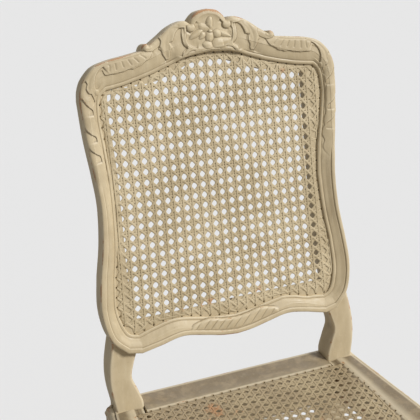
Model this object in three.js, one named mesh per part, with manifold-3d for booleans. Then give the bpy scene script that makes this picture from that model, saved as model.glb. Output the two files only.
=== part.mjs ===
// A caned side chair in the Louis XV manner: a raked back with a serpentine, crested frame around
// a panel of woven cane, waisted posts, a caned seat and cabriole front legs.
// Millimetres. +X is to the right of someone facing the chair, +Y is to its back and +Z is up.
// Every frame joint is a mortise and tenon with round pegs, so each piece comes apart on a bench.
import * as THREE from "three";
import { mergeVertices } from "three/addons/utils/BufferGeometryUtils.js";
import Module from "manifold-3d";

const wasm = await Module();
wasm.setup();

// Driving dimensions
const seatHeight = 450;
const seatDepth = 440;
const seatFrontHalfWidth = 247;
const backHalfWidth = 197.5;
const backHeight = 558;
const backRake = THREE.MathUtils.degToRad(15.2);
const backPlaneSetback = 39.3;
const rearFootSetback = 92;

// Fits and cutters
const gap = 0.3;
const overrun = 60;
const weldDistance = 0.0001;

// Frame of the back, its thickness measured from the middle of the cane
const frameThickness = 34;
const caneSetback = 9.4;
const caneThickness = 2.4;
const stileWidth = 48.5;
const sillHeight = 146;
const crestRise = 106;

// Rear legs, which run from the floor up to the crest rail
const postInset = 24.5;
const postWidth = 42;
const postDepth = 34;
const postRecess = 4.5;
const legChamfer = 3;
const rearFootWidth = 31;
const rearFootSplay = 7;

// Seat frame
const railHeight = 58;
const rearRailDepth = 62;
const bareRailDepth = 45;
const seatBorder = 39;
const caneLap = 16;
const shoulderWidth = 12;
const shoulderReturn = 10;
const roundOver = 11;
const frontLegWidth = 50;
const frontCornerRadius = 34;
const frontBow = 10;
const sideRailLift = 14;
const apronLift = 10;
const apronDrop = 18;

// Cabriole front legs
const kneeWidth = 44;
const ankleWidth = 25;
const footWidth = 35;
const kneeReach = 9;
const ankleReach = 11;
const kneeOverlap = 6;
const legFacetShare = 0.24;

// Joints
const tenonThickness = 9;
const tenonLength = 18;
const tenonShoulder = 12;
const tenonSetback = 21;
const backTenonWidth = 22;
const pegRadius = 3.5;
const pegSpacing = 18;
const pegCover = 4;

// Openings shown in both cane panels, larger and fewer than the woven ones
const netPitch = 22;
const netBar = 6;
const netClearance = 1;

// Finishes
const creamPaint = new THREE.MeshStandardMaterial({ color: 0xc6b187, roughness: 0.6, metalness: 0 });
const canePaint = new THREE.MeshStandardMaterial({ color: 0xc2ac80, roughness: 0.7, metalness: 0 });
const pegPaint = new THREE.MeshStandardMaterial({ color: 0xb49a6e, roughness: 0.65, metalness: 0 });

// Places that follow from the sizes
const openingHalfWidth = backHalfWidth - stileWidth;
const crestJointHeight = backHeight - crestRise;
const frameFront = -caneSetback;
const frameBack = frameFront + frameThickness;
const ledge = caneThickness / 2 + gap;
const backTenonDepth = (ledge + frameBack) / 2;
const postCentre = backHalfWidth - postInset;
const postInner = postCentre - postWidth / 2;
const postOuter = postCentre + postWidth / 2;
const seatRearHalfWidth = postOuter + shoulderWidth;
const railBottom = seatHeight - railHeight;
const railMiddle = seatHeight - railHeight / 2;
const frontLegInner = seatFrontHalfWidth - frontLegWidth;
const seatOpeningEdge = seatBorder + caneLap;
const frontLegBack = -(seatDepth - seatOpeningEdge);
const recessFloor = seatHeight - caneThickness - gap;
const kneeTop = railBottom + kneeOverlap;

// Axes
const acrossAxis = new THREE.Vector3(1, 0, 0);
const backAxis = new THREE.Vector3(0, 1, 0);
const upAxis = new THREE.Vector3(0, 0, 1);

// Outlines of the back on its right side: shares of its half width, and levels up the raked plane.
// Level 0 is the seat, 1 the top of the lower rail, 2 the foot of the crest rail and 3 the crest's top.
const domeShares = [[0, 3], [0.07, 2.974], [0.118, 2.9], [0.139, 2.83]];
const scrollShares = [
  [0.139, 2.83], [0.18, 2.874], [0.235, 2.855], [0.3, 2.8], [0.37, 2.71], [0.456, 2.606],
];
const budShares = [[0.456, 2.606], [0.476, 2.645], [0.501, 2.63], [0.511, 2.558]];
const shoulderShares = [
  [0.511, 2.558], [0.633, 2.52], [0.759, 2.475], [0.868, 2.39], [0.937, 2.274], [0.972, 2.126], [0.982, 2],
];
const stileOuterShares = [
  [0.982, 2], [0.972, 1.83], [0.947, 1.667], [0.926, 1.516], [0.937, 1.343],
  [0.977, 1.18], [1, 1.052], [0.987, 0.898], [0.947, 0.753], [0.861, 0.634],
];
const sillOuterShares = [
  [0, 0.581], [0.127, 0.6], [0.253, 0.638], [0.43, 0.68], [0.61, 0.638], [0.759, 0.604],
];
const sillMouldingShares = [[0, 0.787], [0.2, 0.81], [0.456, 0.871], [0.633, 0.829], [0.76, 0.776]];
const sideMouldingShares = [
  [0.76, 0.776], [0.825, 0.803], [0.861, 0.917], [0.874, 1.043], [0.846, 1.176],
  [0.815, 1.323], [0.805, 1.507], [0.81, 1.699], [0.82, 1.909], [0.812, 2], [0.77, 2.1],
];
const topMouldingShares = [[0.77, 2.1], [0.594, 2.142], [0.354, 2.284], [0.18, 2.389], [0, 2.426]];
const archShares = [[0.96, 2.094], [0.64, 2.104], [0.42, 2.189], [0.2, 2.306], [0, 2.347]];

// Rear leg below the seat: shares of the height of the rail's lower edge, of the setback and of the taper
const rearLegShares = [
  [0, 1, 1], [0.12, 0.84, 0.97], [0.35, 0.48, 0.78], [0.6, 0.17, 0.42], [0.82, 0.03, 0.1], [1, 0, 0],
];

// Post above the seat: shares of the sill's height, then its shift and its width as shares of its width
const postShares = [
  [0, 0, 1], [0.07, 0.03, 1.02], [0.2, 0.14, 0.94], [0.34, 0.23, 0.81], [0.48, 0.16, 0.88],
  [0.6, 0.05, 0.95], [0.74, -0.04, 0.92], [0.86, -0.08, 0.86],
];

// Front leg: heights, outward reaches along its diagonal and widths, from the floor to the rail
const frontLegRows = [
  [0, 0.35 * kneeReach, 0.86 * footWidth],
  [0.035 * kneeTop, 0.6 * kneeReach, footWidth],
  [0.08 * kneeTop, 0.2 * kneeReach, 0.92 * footWidth],
  [0.13 * kneeTop, -0.55 * ankleReach, 1.08 * ankleWidth],
  [0.22 * kneeTop, -ankleReach, ankleWidth],
  [0.4 * kneeTop, -0.75 * ankleReach, 1.12 * ankleWidth],
  [0.62 * kneeTop, 0.15 * kneeReach, 0.66 * kneeWidth],
  [0.8 * kneeTop, kneeReach, 0.88 * kneeWidth],
  [0.92 * kneeTop, 0.7 * kneeReach, kneeWidth],
  [kneeTop, 0, kneeWidth],
];

const sillEndHeight = sillOuterShares[sillOuterShares.length - 1][1] * sillHeight;

// Places the frame of the back on the chair: across it, through it and up its raked plane
const backPlace = new THREE.Matrix4()
  .makeTranslation(0, -backPlaneSetback, seatHeight)
  .multiply(new THREE.Matrix4().makeRotationX(-backRake));

// Turns a closed geometry into a solid that can be joined and cut
function solid(geometry) {
  const bare = geometry.clone();
  bare.deleteAttribute("normal");
  bare.deleteAttribute("uv");
  const merged = mergeVertices(bare, weldDistance);
  const mesh = new wasm.Mesh({
    numProp: 3,
    vertProperties: new Float32Array(merged.attributes.position.array),
    triVerts: new Uint32Array(merged.index.array),
  });
  return new wasm.Manifold(mesh);
}

// Turns a solid back into a geometry
function geometryOf(shape) {
  const mesh = shape.getMesh();
  const geometry = new THREE.BufferGeometry();
  geometry.setAttribute("position", new THREE.BufferAttribute(new Float32Array(mesh.vertProperties), 3));
  geometry.setIndex(new THREE.BufferAttribute(new Uint32Array(mesh.triVerts), 1));
  geometry.computeVertexNormals();
  return geometry;
}

// Moves a solid made in the frame of the back onto the chair
function onChair(shape) {
  return solid(geometryOf(shape).applyMatrix4(backPlace));
}

// A box between two opposite corners, given in any order
function boxBetween(a, b) {
  const low = a.clone().min(b);
  const size = a.clone().max(b).sub(low);
  const box = new THREE.BoxGeometry(size.x, size.y, size.z);
  box.translate(low.x + size.x / 2, low.y + size.y / 2, low.z + size.z / 2);
  return solid(box);
}

// A round bar that starts at a point and runs along a direction
function rod(start, direction, length, radius) {
  const bar = new THREE.CylinderGeometry(radius, radius, length, 10);
  bar.translate(0, length / 2, 0);
  bar.applyQuaternion(new THREE.Quaternion().setFromUnitVectors(backAxis, direction));
  bar.translate(start.x, start.y, start.z);
  return solid(bar);
}

// Extrudes an outline drawn across and up, from one depth to another
function extrudeBack(points, from, to) {
  const shape = new THREE.Shape(points);
  const geometry = new THREE.ExtrudeGeometry(shape, { depth: to - from, bevelEnabled: false });
  geometry.rotateX(Math.PI / 2);
  geometry.translate(0, to, 0);
  return solid(geometry);
}

// Extrudes an outline drawn in plan, from one height to another
function extrudeUp(points, from, to) {
  const shape = new THREE.Shape(points);
  const geometry = new THREE.ExtrudeGeometry(shape, { depth: to - from, bevelEnabled: false });
  geometry.translate(0, 0, from);
  return solid(geometry);
}

// Extrudes an outline drawn to the back and up, from one place across to another
function extrudeAcross(points, from, to) {
  const shape = new THREE.Shape(points);
  const geometry = new THREE.ExtrudeGeometry(shape, { depth: to - from, bevelEnabled: false });
  geometry.rotateY(Math.PI / 2);
  geometry.rotateX(Math.PI / 2);
  geometry.translate(from, 0, 0);
  return solid(geometry);
}

// Height of a level on the back: from the seat to the sill, on to the crest rail's foot, then its top
function levelHeight(level) {
  if (level < 1) {
    return level * sillHeight;
  }
  if (level < 2) {
    return THREE.MathUtils.lerp(sillHeight, crestJointHeight, level - 1);
  }
  return crestJointHeight + (level - 2) * crestRise;
}

// Points along a smooth curve through shares of a half width and levels of the back
function backCurve(shares, halfWidth, divisions) {
  const points = shares.map(([across, level]) => new THREE.Vector2(across * halfWidth, levelHeight(level)));
  return new THREE.SplineCurve(points).getPoints(divisions);
}

// One line of points from several, leaving out the point where two of them meet
function joined(...lines) {
  return lines.flatMap((line, index) => (index === 0 ? line : line.slice(1)));
}

// Closes an outline whose right half runs from the middle line back to the middle line
function mirrored(right) {
  const left = right.filter((point) => point.x > gap).reverse();
  return [...right, ...left.map((point) => new THREE.Vector2(-point.x, point.y))];
}

// A skin over level rings, listed upwards, with each ring's points anticlockwise from above
function loft(rings) {
  const sides = rings[0].length;
  const faces = [];
  for (let level = 0; level + 1 < rings.length; level += 1) {
    for (let side = 0; side < sides; side += 1) {
      const a = level * sides + side;
      const b = level * sides + ((side + 1) % sides);
      faces.push(a, b, b + sides, a, b + sides, a + sides);
    }
  }
  const top = (rings.length - 1) * sides;
  for (const [a, b, c] of THREE.ShapeUtils.triangulateShape(rings[0], [])) {
    faces.push(a, c, b);
  }
  for (const [a, b, c] of THREE.ShapeUtils.triangulateShape(rings[rings.length - 1], [])) {
    faces.push(top + a, top + b, top + c);
  }
  const positions = rings.flat().flatMap((point) => [point.x, point.y, point.z]);
  const skin = new THREE.BufferGeometry();
  skin.setAttribute("position", new THREE.Float32BufferAttribute(positions, 3));
  skin.setIndex(faces);
  return solid(skin);
}

// A level rectangle with cut corners
function levelRing(centre, width, depth, chamfer) {
  const x = width / 2;
  const y = depth / 2;
  const corners = [
    [x, -y + chamfer], [x, y - chamfer], [x - chamfer, y], [-x + chamfer, y],
    [-x, y - chamfer], [-x, -y + chamfer], [-x + chamfer, -y], [x - chamfer, -y],
  ];
  return corners.map(([dx, dy]) => new THREE.Vector3(centre.x + dx, centre.y + dy, centre.z));
}

// Even steps along a smooth curve through rows of three values
function easedRows(rows, divisions) {
  return new THREE.CatmullRomCurve3(rows.map((row) => new THREE.Vector3(...row))).getPoints(divisions);
}

// A joint: its tenon starts at the root, runs along one way and is thin another way,
// and its pegs are driven that other way, spaced over the tenon's width
function tenon(joint, play) {
  const wide = new THREE.Vector3().crossVectors(joint.along, joint.thin);
  const half = wide.multiplyScalar(joint.width / 2 + play)
    .add(joint.thin.clone().multiplyScalar(tenonThickness / 2 + play));
  const start = joint.root.clone().addScaledVector(joint.along, -tenonLength).sub(half);
  const end = joint.root.clone().addScaledVector(joint.along, tenonLength + play).add(half);
  return boxBetween(start, end);
}

function pegs(joint, play) {
  const wide = new THREE.Vector3().crossVectors(joint.along, joint.thin);
  return joint.pegPlaces.map((place) => {
    const start = joint.root.clone()
      .addScaledVector(joint.along, tenonLength / 2)
      .addScaledVector(wide, place)
      .addScaledVector(joint.thin, -joint.pegStart);
    const length = joint.pegStart + tenonThickness / 2 + pegCover;
    return rod(start, joint.thin, length + play, pegRadius + play);
  });
}

// Cuts a joint's mortise and peg holes out of the piece that takes the tenon
function withMortise(piece, joint) {
  return pegs(joint, gap).reduce((cut, peg) => cut.subtract(peg), piece.subtract(tenon(joint, gap)));
}

// Adds a joint's tenon, drilled for its pegs, to the piece that carries it
function withTenon(piece, joint) {
  return pegs(joint, gap).reduce((cut, peg) => cut.subtract(peg), piece.add(tenon(joint, 0)));
}

// Joints of the back, in its own frame
function crestJoint(side) {
  return {
    root: new THREE.Vector3(side * (openingHalfWidth + stileWidth / 2), backTenonDepth, crestJointHeight),
    along: upAxis.clone(),
    thin: backAxis.clone().negate(),
    width: backTenonWidth,
    pegPlaces: [0],
    pegStart: frameBack - backTenonDepth,
  };
}

function sillJoint(side) {
  return {
    root: new THREE.Vector3(side * openingHalfWidth, backTenonDepth, (sillEndHeight + sillHeight) / 2),
    along: acrossAxis.clone().multiplyScalar(side),
    thin: backAxis.clone().negate(),
    width: backTenonWidth,
    pegPlaces: [0],
    pegStart: frameBack - backTenonDepth,
  };
}

// Joints of the seat, whose pegs start outside and are trimmed flush
function seatJoint(root, along, thin) {
  return {
    root,
    along,
    thin,
    width: railHeight - 2 * tenonShoulder,
    pegPlaces: [-pegSpacing / 2, pegSpacing / 2],
    pegStart: overrun,
  };
}

function rearRailJoint(side) {
  const root = new THREE.Vector3(side * postInner, -tenonSetback, railMiddle);
  return seatJoint(root, acrossAxis.clone().multiplyScalar(side), backAxis.clone().negate());
}

function sideRailRearJoint(side) {
  const root = new THREE.Vector3(side * (postOuter - tenonShoulder), -postDepth, railMiddle);
  return seatJoint(root, backAxis.clone(), acrossAxis.clone().multiplyScalar(-side));
}

function sideRailFrontJoint(side) {
  const root = new THREE.Vector3(side * (seatFrontHalfWidth - tenonSetback), frontLegBack, railMiddle);
  return seatJoint(root, backAxis.clone().negate(), acrossAxis.clone().multiplyScalar(-side));
}

function frontRailJoint(side) {
  const root = new THREE.Vector3(side * frontLegInner, -(seatDepth - tenonSetback - frontBow), railMiddle);
  return seatJoint(root, acrossAxis.clone().multiplyScalar(side), backAxis.clone());
}

// The line where the moulding ends and the cane shows, and the same line drawn in by an inset
function mouldingOutline(inset) {
  const right = joined(
    backCurve(sillMouldingShares, backHalfWidth, 12),
    backCurve(sideMouldingShares, backHalfWidth, 28),
    backCurve(topMouldingShares, backHalfWidth, 10),
  );
  const box = new THREE.Box2().setFromPoints(right);
  const middle = (box.min.y + box.max.y) / 2;
  const across = 1 - inset / box.max.x;
  const up = 1 - inset / (box.max.y - middle);
  const inner = right.map((point) => new THREE.Vector2(point.x * across, middle + (point.y - middle) * up));
  return mirrored(inner);
}

// The recess that the back's cane lies in, open to the front
const backRecess = extrudeBack(mouldingOutline(0), frameFront - overrun, ledge);

// The underside of the crest rail, on the right side from near its joint to the middle
function crestArch() {
  return backCurve(archShares, openingHalfWidth, 12);
}

// Carved top rail of the back
function crestRail() {
  const outer = joined(
    backCurve(domeShares, backHalfWidth, 5),
    backCurve(scrollShares, backHalfWidth, 10),
    backCurve(budShares, backHalfWidth, 5),
    backCurve(shoulderShares, backHalfWidth, 12),
  );
  const foot = crestJointHeight + gap;
  outer[outer.length - 1].y = foot;
  const right = [...outer, new THREE.Vector2(openingHalfWidth, foot), ...crestArch()];
  const rail = extrudeBack(mirrored(right), frameFront, frameBack).subtract(backRecess);
  return [-1, 1].reduce((cut, side) => withMortise(cut, crestJoint(side)), rail);
}

// Lower rail of the back, between the rear legs
function lowerBackRail() {
  const end = openingHalfWidth - gap;
  const lower = backCurve(sillOuterShares, backHalfWidth, 16).filter((point) => point.x < end);
  const right = [
    ...lower,
    new THREE.Vector2(end, sillEndHeight),
    new THREE.Vector2(end, sillHeight),
    new THREE.Vector2(0, sillHeight),
  ];
  const rail = extrudeBack(mirrored(right), frameFront, frameBack).subtract(backRecess);
  return [-1, 1].reduce((whole, side) => withTenon(whole, sillJoint(side)), rail);
}

// The part of a rear leg beside the cane, with its moulded outer edge
function stile(side) {
  const outer = backCurve(stileOuterShares, backHalfWidth, 30);
  outer[0].y = crestJointHeight;
  const outline = [
    new THREE.Vector2(openingHalfWidth, crestJointHeight),
    ...outer,
    new THREE.Vector2(openingHalfWidth, sillEndHeight),
  ].map((point) => new THREE.Vector2(side * point.x, point.y));
  return extrudeBack(outline, frameFront, frameBack).add(tenon(crestJoint(side), 0));
}

// The waisted post between the seat and the frame of the back
function post(side) {
  const rise = sillHeight * Math.cos(backRake);
  const lean = sillHeight * Math.sin(backRake);
  const footMiddle = -postDepth / 2;
  const headMiddle = lean - backPlaneSetback + (frameFront + postRecess + frameBack) / 2;
  const headDepth = frameThickness - postRecess;
  const rings = easedRows(postShares, 16).map((row) => {
    const centre = new THREE.Vector3(
      side * (postCentre + row.y * postWidth),
      THREE.MathUtils.lerp(footMiddle, headMiddle, row.x),
      seatHeight + row.x * rise,
    );
    const depth = THREE.MathUtils.lerp(postDepth, headDepth, row.x);
    return levelRing(centre, row.z * postWidth, depth, legChamfer);
  });
  return loft(rings);
}

// The rear leg from the floor to the level of the seat, square where the rails enter it
function rearShank(side) {
  const rings = easedRows(rearLegShares, 14).map((row) => {
    const centre = new THREE.Vector3(
      side * (postCentre + row.z * rearFootSplay),
      row.y * rearFootSetback - postDepth / 2,
      row.x * railBottom,
    );
    const width = THREE.MathUtils.lerp(postWidth, rearFootWidth, row.z);
    const depth = THREE.MathUtils.lerp(postDepth, rearFootWidth, row.z);
    return levelRing(centre, width, depth, legChamfer);
  });
  const head = new THREE.Vector3(side * postCentre, -postDepth / 2, seatHeight);
  return loft([...rings, levelRing(head, postWidth, postDepth, legChamfer)]);
}

function rearLeg(side) {
  const block = seatRegion(side * postInner, side * (seatRearHalfWidth + overrun), -postDepth, overrun);
  const frame = onChair(stile(side).subtract(backRecess));
  const whole = rearShank(side).add(post(side).subtract(onChair(backRecess))).add(block).add(frame);
  const cut = withMortise(withMortise(whole, rearRailJoint(side)), sideRailRearJoint(side));
  const sill = sillJoint(side);
  return [tenon(sill, gap), ...pegs(sill, gap), ...pegs(crestJoint(side), gap)]
    .reduce((leg, cutter) => leg.subtract(onChair(cutter)), cut);
}

// Plan of the seat on the right, from the middle of the front to the middle of the back
function seatPlan(inset) {
  const side = seatFrontHalfWidth - inset;
  const rear = seatRearHalfWidth - inset;
  const front = -(seatDepth - inset);
  const flareShares = [[1, 0.86], [0.98, 0.74], [0.72, 0.5], [0.3, 0.24], [0, 0.06]];
  const flare = flareShares.map(([out, forward]) =>
    new THREE.Vector2(rear + (side - rear) * out, -seatDepth * forward));
  const bowShares = [[0, 0], [0.35, 0.5], [0.7, 1]];
  const bow = bowShares.map(([across, back]) =>
    new THREE.Vector2((side - frontCornerRadius) * across, front + frontBow * back));
  bow.push(new THREE.Vector2(side - frontCornerRadius, front + frontBow));
  const corner = new THREE.QuadraticBezierCurve(
    bow[bow.length - 1],
    new THREE.Vector2(side, front + frontBow),
    flare[0],
  );
  return [
    ...joined(
      new THREE.SplineCurve(bow).getPoints(8),
      corner.getPoints(7),
      new THREE.SplineCurve(flare).getPoints(12),
    ),
    new THREE.Vector2(rear, -shoulderReturn),
    new THREE.Vector2(postOuter - inset, 0),
    new THREE.Vector2(0, 0),
  ];
}

// The seat frame as one block with its top edge rounded over, which its pieces are cut from
function seatBlock() {
  const bottom = railBottom - apronDrop;
  const turns = [0, Math.PI / 6, Math.PI / 3, Math.PI / 2];
  const levels = turns.map((turn) => [
    seatHeight - roundOver * (1 - Math.sin(turn)),
    roundOver * (1 - Math.cos(turn)),
  ]);
  const rings = [[bottom, 0], ...levels].map(([height, inset]) =>
    mirrored(seatPlan(inset)).map((point) => new THREE.Vector3(point.x, point.y, height)));
  return loft(rings);
}

// The outline of the seat a given border inside its edge, with its own line at the back
function seatInner(border, rear) {
  const rearShare = rear / seatDepth;
  const halfAt = (share) => THREE.MathUtils.lerp(seatRearHalfWidth, seatFrontHalfWidth, share) - border;
  const front = -(seatDepth - border);
  return mirrored([
    new THREE.Vector2(0, front),
    new THREE.Vector2(seatFrontHalfWidth - border, front),
    new THREE.Vector2(halfAt(rearShare), -rear),
    new THREE.Vector2(0, -rear),
  ]);
}

const seatFrame = seatBlock()
  .subtract(extrudeUp(seatInner(seatOpeningEdge, rearRailDepth), railBottom - overrun, seatHeight + overrun))
  .subtract(extrudeUp(seatInner(seatBorder, bareRailDepth), recessFloor, seatHeight + overrun));

// The part of the seat frame inside a box, cut off below at the rails' lower edge or lower
function seatRegion(fromX, toX, fromY, toY, bottom = railBottom) {
  const low = new THREE.Vector3(fromX, fromY, bottom);
  const high = new THREE.Vector3(toX, toY, seatHeight + overrun);
  return seatFrame.intersect(boxBetween(low, high));
}

function rearSeatRail() {
  const end = postInner - gap;
  const rail = seatRegion(-end, end, -rearRailDepth, overrun);
  return [-1, 1].reduce((whole, side) => withTenon(whole, rearRailJoint(side)), rail);
}

function sideSeatRail(side) {
  const rear = -(postDepth + gap);
  const front = frontLegBack + gap;
  const rail = seatRegion(side * postInner, side * (seatFrontHalfWidth + overrun), front, rear);
  const lift = new THREE.QuadraticBezierCurve(
    new THREE.Vector2(front, railBottom),
    new THREE.Vector2((front + rear) / 2, railBottom + 2 * sideRailLift),
    new THREE.Vector2(rear, railBottom),
  ).getPoints(10);
  const below = [
    ...lift,
    new THREE.Vector2(rear, railBottom - overrun),
    new THREE.Vector2(front, railBottom - overrun),
  ];
  const reach = seatFrontHalfWidth + overrun;
  const arched = rail.subtract(extrudeAcross(below, -reach, reach));
  return withTenon(withTenon(arched, sideRailRearJoint(side)), sideRailFrontJoint(side));
}

// Front rail, whose lower edge rises and then drops to the middle
function frontSeatRail() {
  const end = frontLegInner - gap;
  const front = -(seatDepth + overrun);
  const apronShares = [[0, 0], [0.13, 0.06], [0.3, 0.55], [0.5, 0.95], [0.72, 1], [1, 0.64]];
  const apron = apronShares.map(([across, up]) =>
    new THREE.Vector2(across * end, railBottom - apronDrop + up * (apronDrop + apronLift)));
  const lower = new THREE.SplineCurve(apron).getPoints(16);
  const outline = mirrored([
    ...lower,
    new THREE.Vector2(end, seatHeight + overrun),
    new THREE.Vector2(0, seatHeight + overrun),
  ]);
  const rail = seatRegion(-end, end, front, frontLegBack, railBottom - apronDrop)
    .intersect(extrudeBack(outline, front, 0));
  return [-1, 1].reduce((whole, side) => withTenon(whole, frontRailJoint(side)), rail);
}

// Cabriole front leg with the square block that the rails enter
function frontLeg(side) {
  const block = seatRegion(
    side * frontLegInner,
    side * (seatFrontHalfWidth + overrun),
    -(seatDepth + overrun),
    frontLegBack,
  );
  const middleX = seatFrontHalfWidth - frontLegWidth / 2;
  const middleY = (frontLegBack - (seatDepth - frontBow)) / 2;
  const rings = easedRows(frontLegRows, 20).map((row) => {
    const centre = new THREE.Vector3(side * (middleX + row.y), middleY - row.y, row.x);
    return levelRing(centre, row.z, row.z, row.z * legFacetShare);
  });
  const whole = block.add(loft(rings));
  return withMortise(withMortise(whole, frontRailJoint(side)), sideRailFrontJoint(side));
}

// Square openings on a grid, kept where they fit inside an outline
function netOpenings(outline) {
  const box = new THREE.Box2().setFromPoints(outline);
  const size = box.getSize(new THREE.Vector2());
  const columns = Math.floor(size.x / netPitch);
  const rows = Math.floor(size.y / netPitch);
  const half = (netPitch - netBar) / 2;
  const start = box.getCenter(new THREE.Vector2())
    .sub(new THREE.Vector2(columns - 1, rows - 1).multiplyScalar(netPitch / 2));
  const openings = [];
  for (let row = 0; row < rows; row += 1) {
    for (let column = 0; column < columns; column += 1) {
      const centre = start.clone().add(new THREE.Vector2(column, row).multiplyScalar(netPitch));
      const cornerShares = [[-1, -1], [-1, 1], [1, 1], [1, -1]];
      const corners = cornerShares.map(([x, y]) => new THREE.Vector2(x, y).multiplyScalar(half).add(centre));
      if (corners.every((corner) => isInside(corner, outline))) {
        openings.push(corners);
      }
    }
  }
  return openings;
}

function isInside(point, outline) {
  let inside = false;
  outline.forEach((a, index) => {
    const b = outline[(index + 1) % outline.length];
    const crosses = (a.y > point.y) !== (b.y > point.y);
    if (crosses && point.x < a.x + ((point.y - a.y) / (b.y - a.y)) * (b.x - a.x)) {
      inside = !inside;
    }
  });
  return inside;
}

// The woven panel of the back, as a flat net
function backCane() {
  const side = openingHalfWidth - netClearance;
  const opening = mirrored([
    new THREE.Vector2(0, sillHeight),
    new THREE.Vector2(side, sillHeight),
    new THREE.Vector2(side, crestJointHeight),
    ...crestArch(),
  ]);
  const panel = extrudeBack(mouldingOutline(gap), -caneThickness / 2, caneThickness / 2);
  const cutters = netOpenings(opening).map((hole) => extrudeBack(hole, -caneThickness, caneThickness));
  return panel.subtract(wasm.Manifold.union(cutters));
}

// The woven panel of the seat, as a flat net
function seatCane() {
  const opening = seatInner(seatOpeningEdge + netClearance, rearRailDepth + netClearance);
  const outline = seatInner(seatBorder + gap, bareRailDepth + gap);
  const panel = extrudeUp(outline, seatHeight - caneThickness, seatHeight);
  const cutters = netOpenings(opening).map((hole) => extrudeUp(hole, recessFloor, seatHeight + caneThickness));
  return panel.subtract(wasm.Manifold.union(cutters));
}

// Adds a solid to a group as a named mesh
function addPiece(group, name, shape, material) {
  const mesh = new THREE.Mesh(geometryOf(shape), material);
  mesh.name = name;
  group.add(mesh);
}

const seatAndLegs = new THREE.Group();
const rakedBack = new THREE.Group();
rakedBack.position.set(0, -backPlaneSetback, seatHeight);
rakedBack.rotation.x = -backRake;

addPiece(rakedBack, "crest_rail", crestRail(), creamPaint);
addPiece(rakedBack, "lower_back_rail", lowerBackRail(), creamPaint);
addPiece(rakedBack, "back_cane_panel", backCane(), canePaint);
addPiece(seatAndLegs, "rear_seat_rail", rearSeatRail(), creamPaint);
addPiece(seatAndLegs, "front_seat_rail", frontSeatRail(), creamPaint);
addPiece(seatAndLegs, "seat_cane_panel", seatCane(), canePaint);

const trim = seatBlock();
for (const [side, hand] of [[-1, "left"], [1, "right"]]) {
  addPiece(seatAndLegs, `${hand}_rear_leg`, rearLeg(side), creamPaint);
  addPiece(seatAndLegs, `${hand}_front_leg`, frontLeg(side), creamPaint);
  addPiece(seatAndLegs, `${hand}_seat_rail`, sideSeatRail(side), creamPaint);
  addPiece(rakedBack, `${hand}_crest_peg`, pegs(crestJoint(side), 0)[0], pegPaint);
  addPiece(rakedBack, `${hand}_lower_back_rail_peg`, pegs(sillJoint(side), 0)[0], pegPaint);
  const seatJoints = {
    rear_rail: rearRailJoint(side),
    side_rail_rear: sideRailRearJoint(side),
    side_rail_front: sideRailFrontJoint(side),
    front_rail: frontRailJoint(side),
  };
  for (const [place, joint] of Object.entries(seatJoints)) {
    pegs(joint, 0).forEach((peg, index) => {
      addPiece(seatAndLegs, `${hand}_${place}_peg_${index + 1}`, peg.intersect(trim), pegPaint);
    });
  }
}

// The finished chair stands on the floor with the middle of its box over the origin
const chair = new THREE.Group();
chair.add(seatAndLegs, rakedBack);
chair.updateMatrixWorld(true);
const middle = new THREE.Box3().setFromObject(chair, true).getCenter(new THREE.Vector3());
chair.position.y = -middle.y;

export default chair;
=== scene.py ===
"""A painted, caned side chair: carved frame, woven cane and weathered finishes.

Lengths are in millimetres until a mesh is made. The back has axes of its own: u across it, v up its
raked plane from the level of the seat, and w through it, positive to the back. On the seat, x runs
across, y to the back from the line of the posts' backs, and z up from the floor.
"""

import math

import bmesh
import bpy
import numpy as np
from bpy.props import FloatProperty, FloatVectorProperty, PointerProperty
from mathutils import Matrix, Vector


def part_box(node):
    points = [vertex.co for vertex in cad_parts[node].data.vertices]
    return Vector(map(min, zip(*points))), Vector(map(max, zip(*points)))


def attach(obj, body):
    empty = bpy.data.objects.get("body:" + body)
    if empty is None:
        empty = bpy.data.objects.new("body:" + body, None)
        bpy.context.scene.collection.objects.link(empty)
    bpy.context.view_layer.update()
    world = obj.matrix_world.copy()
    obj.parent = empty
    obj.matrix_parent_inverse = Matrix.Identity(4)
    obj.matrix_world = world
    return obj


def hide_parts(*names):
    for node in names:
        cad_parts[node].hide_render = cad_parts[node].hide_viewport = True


bl_info = {
    "name": "Cane chair",
    "version": (1, 0, 0),
    "blender": (4, 5, 0),
    "location": "3D View > Sidebar > Cane chair",
    "description": "Builds a carved and painted chair with a caned back and seat",
    "category": "Object",
}

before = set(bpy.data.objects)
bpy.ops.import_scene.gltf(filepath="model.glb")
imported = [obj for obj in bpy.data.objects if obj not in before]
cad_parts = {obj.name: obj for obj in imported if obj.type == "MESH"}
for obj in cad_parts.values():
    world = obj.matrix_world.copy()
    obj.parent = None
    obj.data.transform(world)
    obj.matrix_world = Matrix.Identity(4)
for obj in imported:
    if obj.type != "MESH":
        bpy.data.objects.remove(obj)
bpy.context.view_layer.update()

MM = 0.001
SEED = 7

# Where the chair stands in the frame
_, REAR_RAIL_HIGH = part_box("rear_seat_rail")
SEAT_TOP = REAR_RAIL_HIGH.z / MM
POST_BACK = REAR_RAIL_HIGH.y / MM
RAKE = math.radians(15.2)
BACK_SETBACK = 39.3

# The back's frame: sizes across it, heights up it, and depths through it from the plane of the cane
HALF_WIDTH = 197.5
SILL_HEIGHT = 146
CREST_FOOT = 452
CREST_RISE = 106
OPENING_HALF_WIDTH = 149
FRAME_FRONT = -9.4
FRAME_BACK = 24.6
LEDGE = 0.8
LEAST_WALL = 2
BACK_EDGE_DEPTH = 11
BACK_EDGE_INSET = 6
BACK_ARRIS = 1.5
OPENING_RELIEF = 7
OPENING_FOOT_DROP = 9
OPENING_FOOT_FADE = 30

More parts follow.
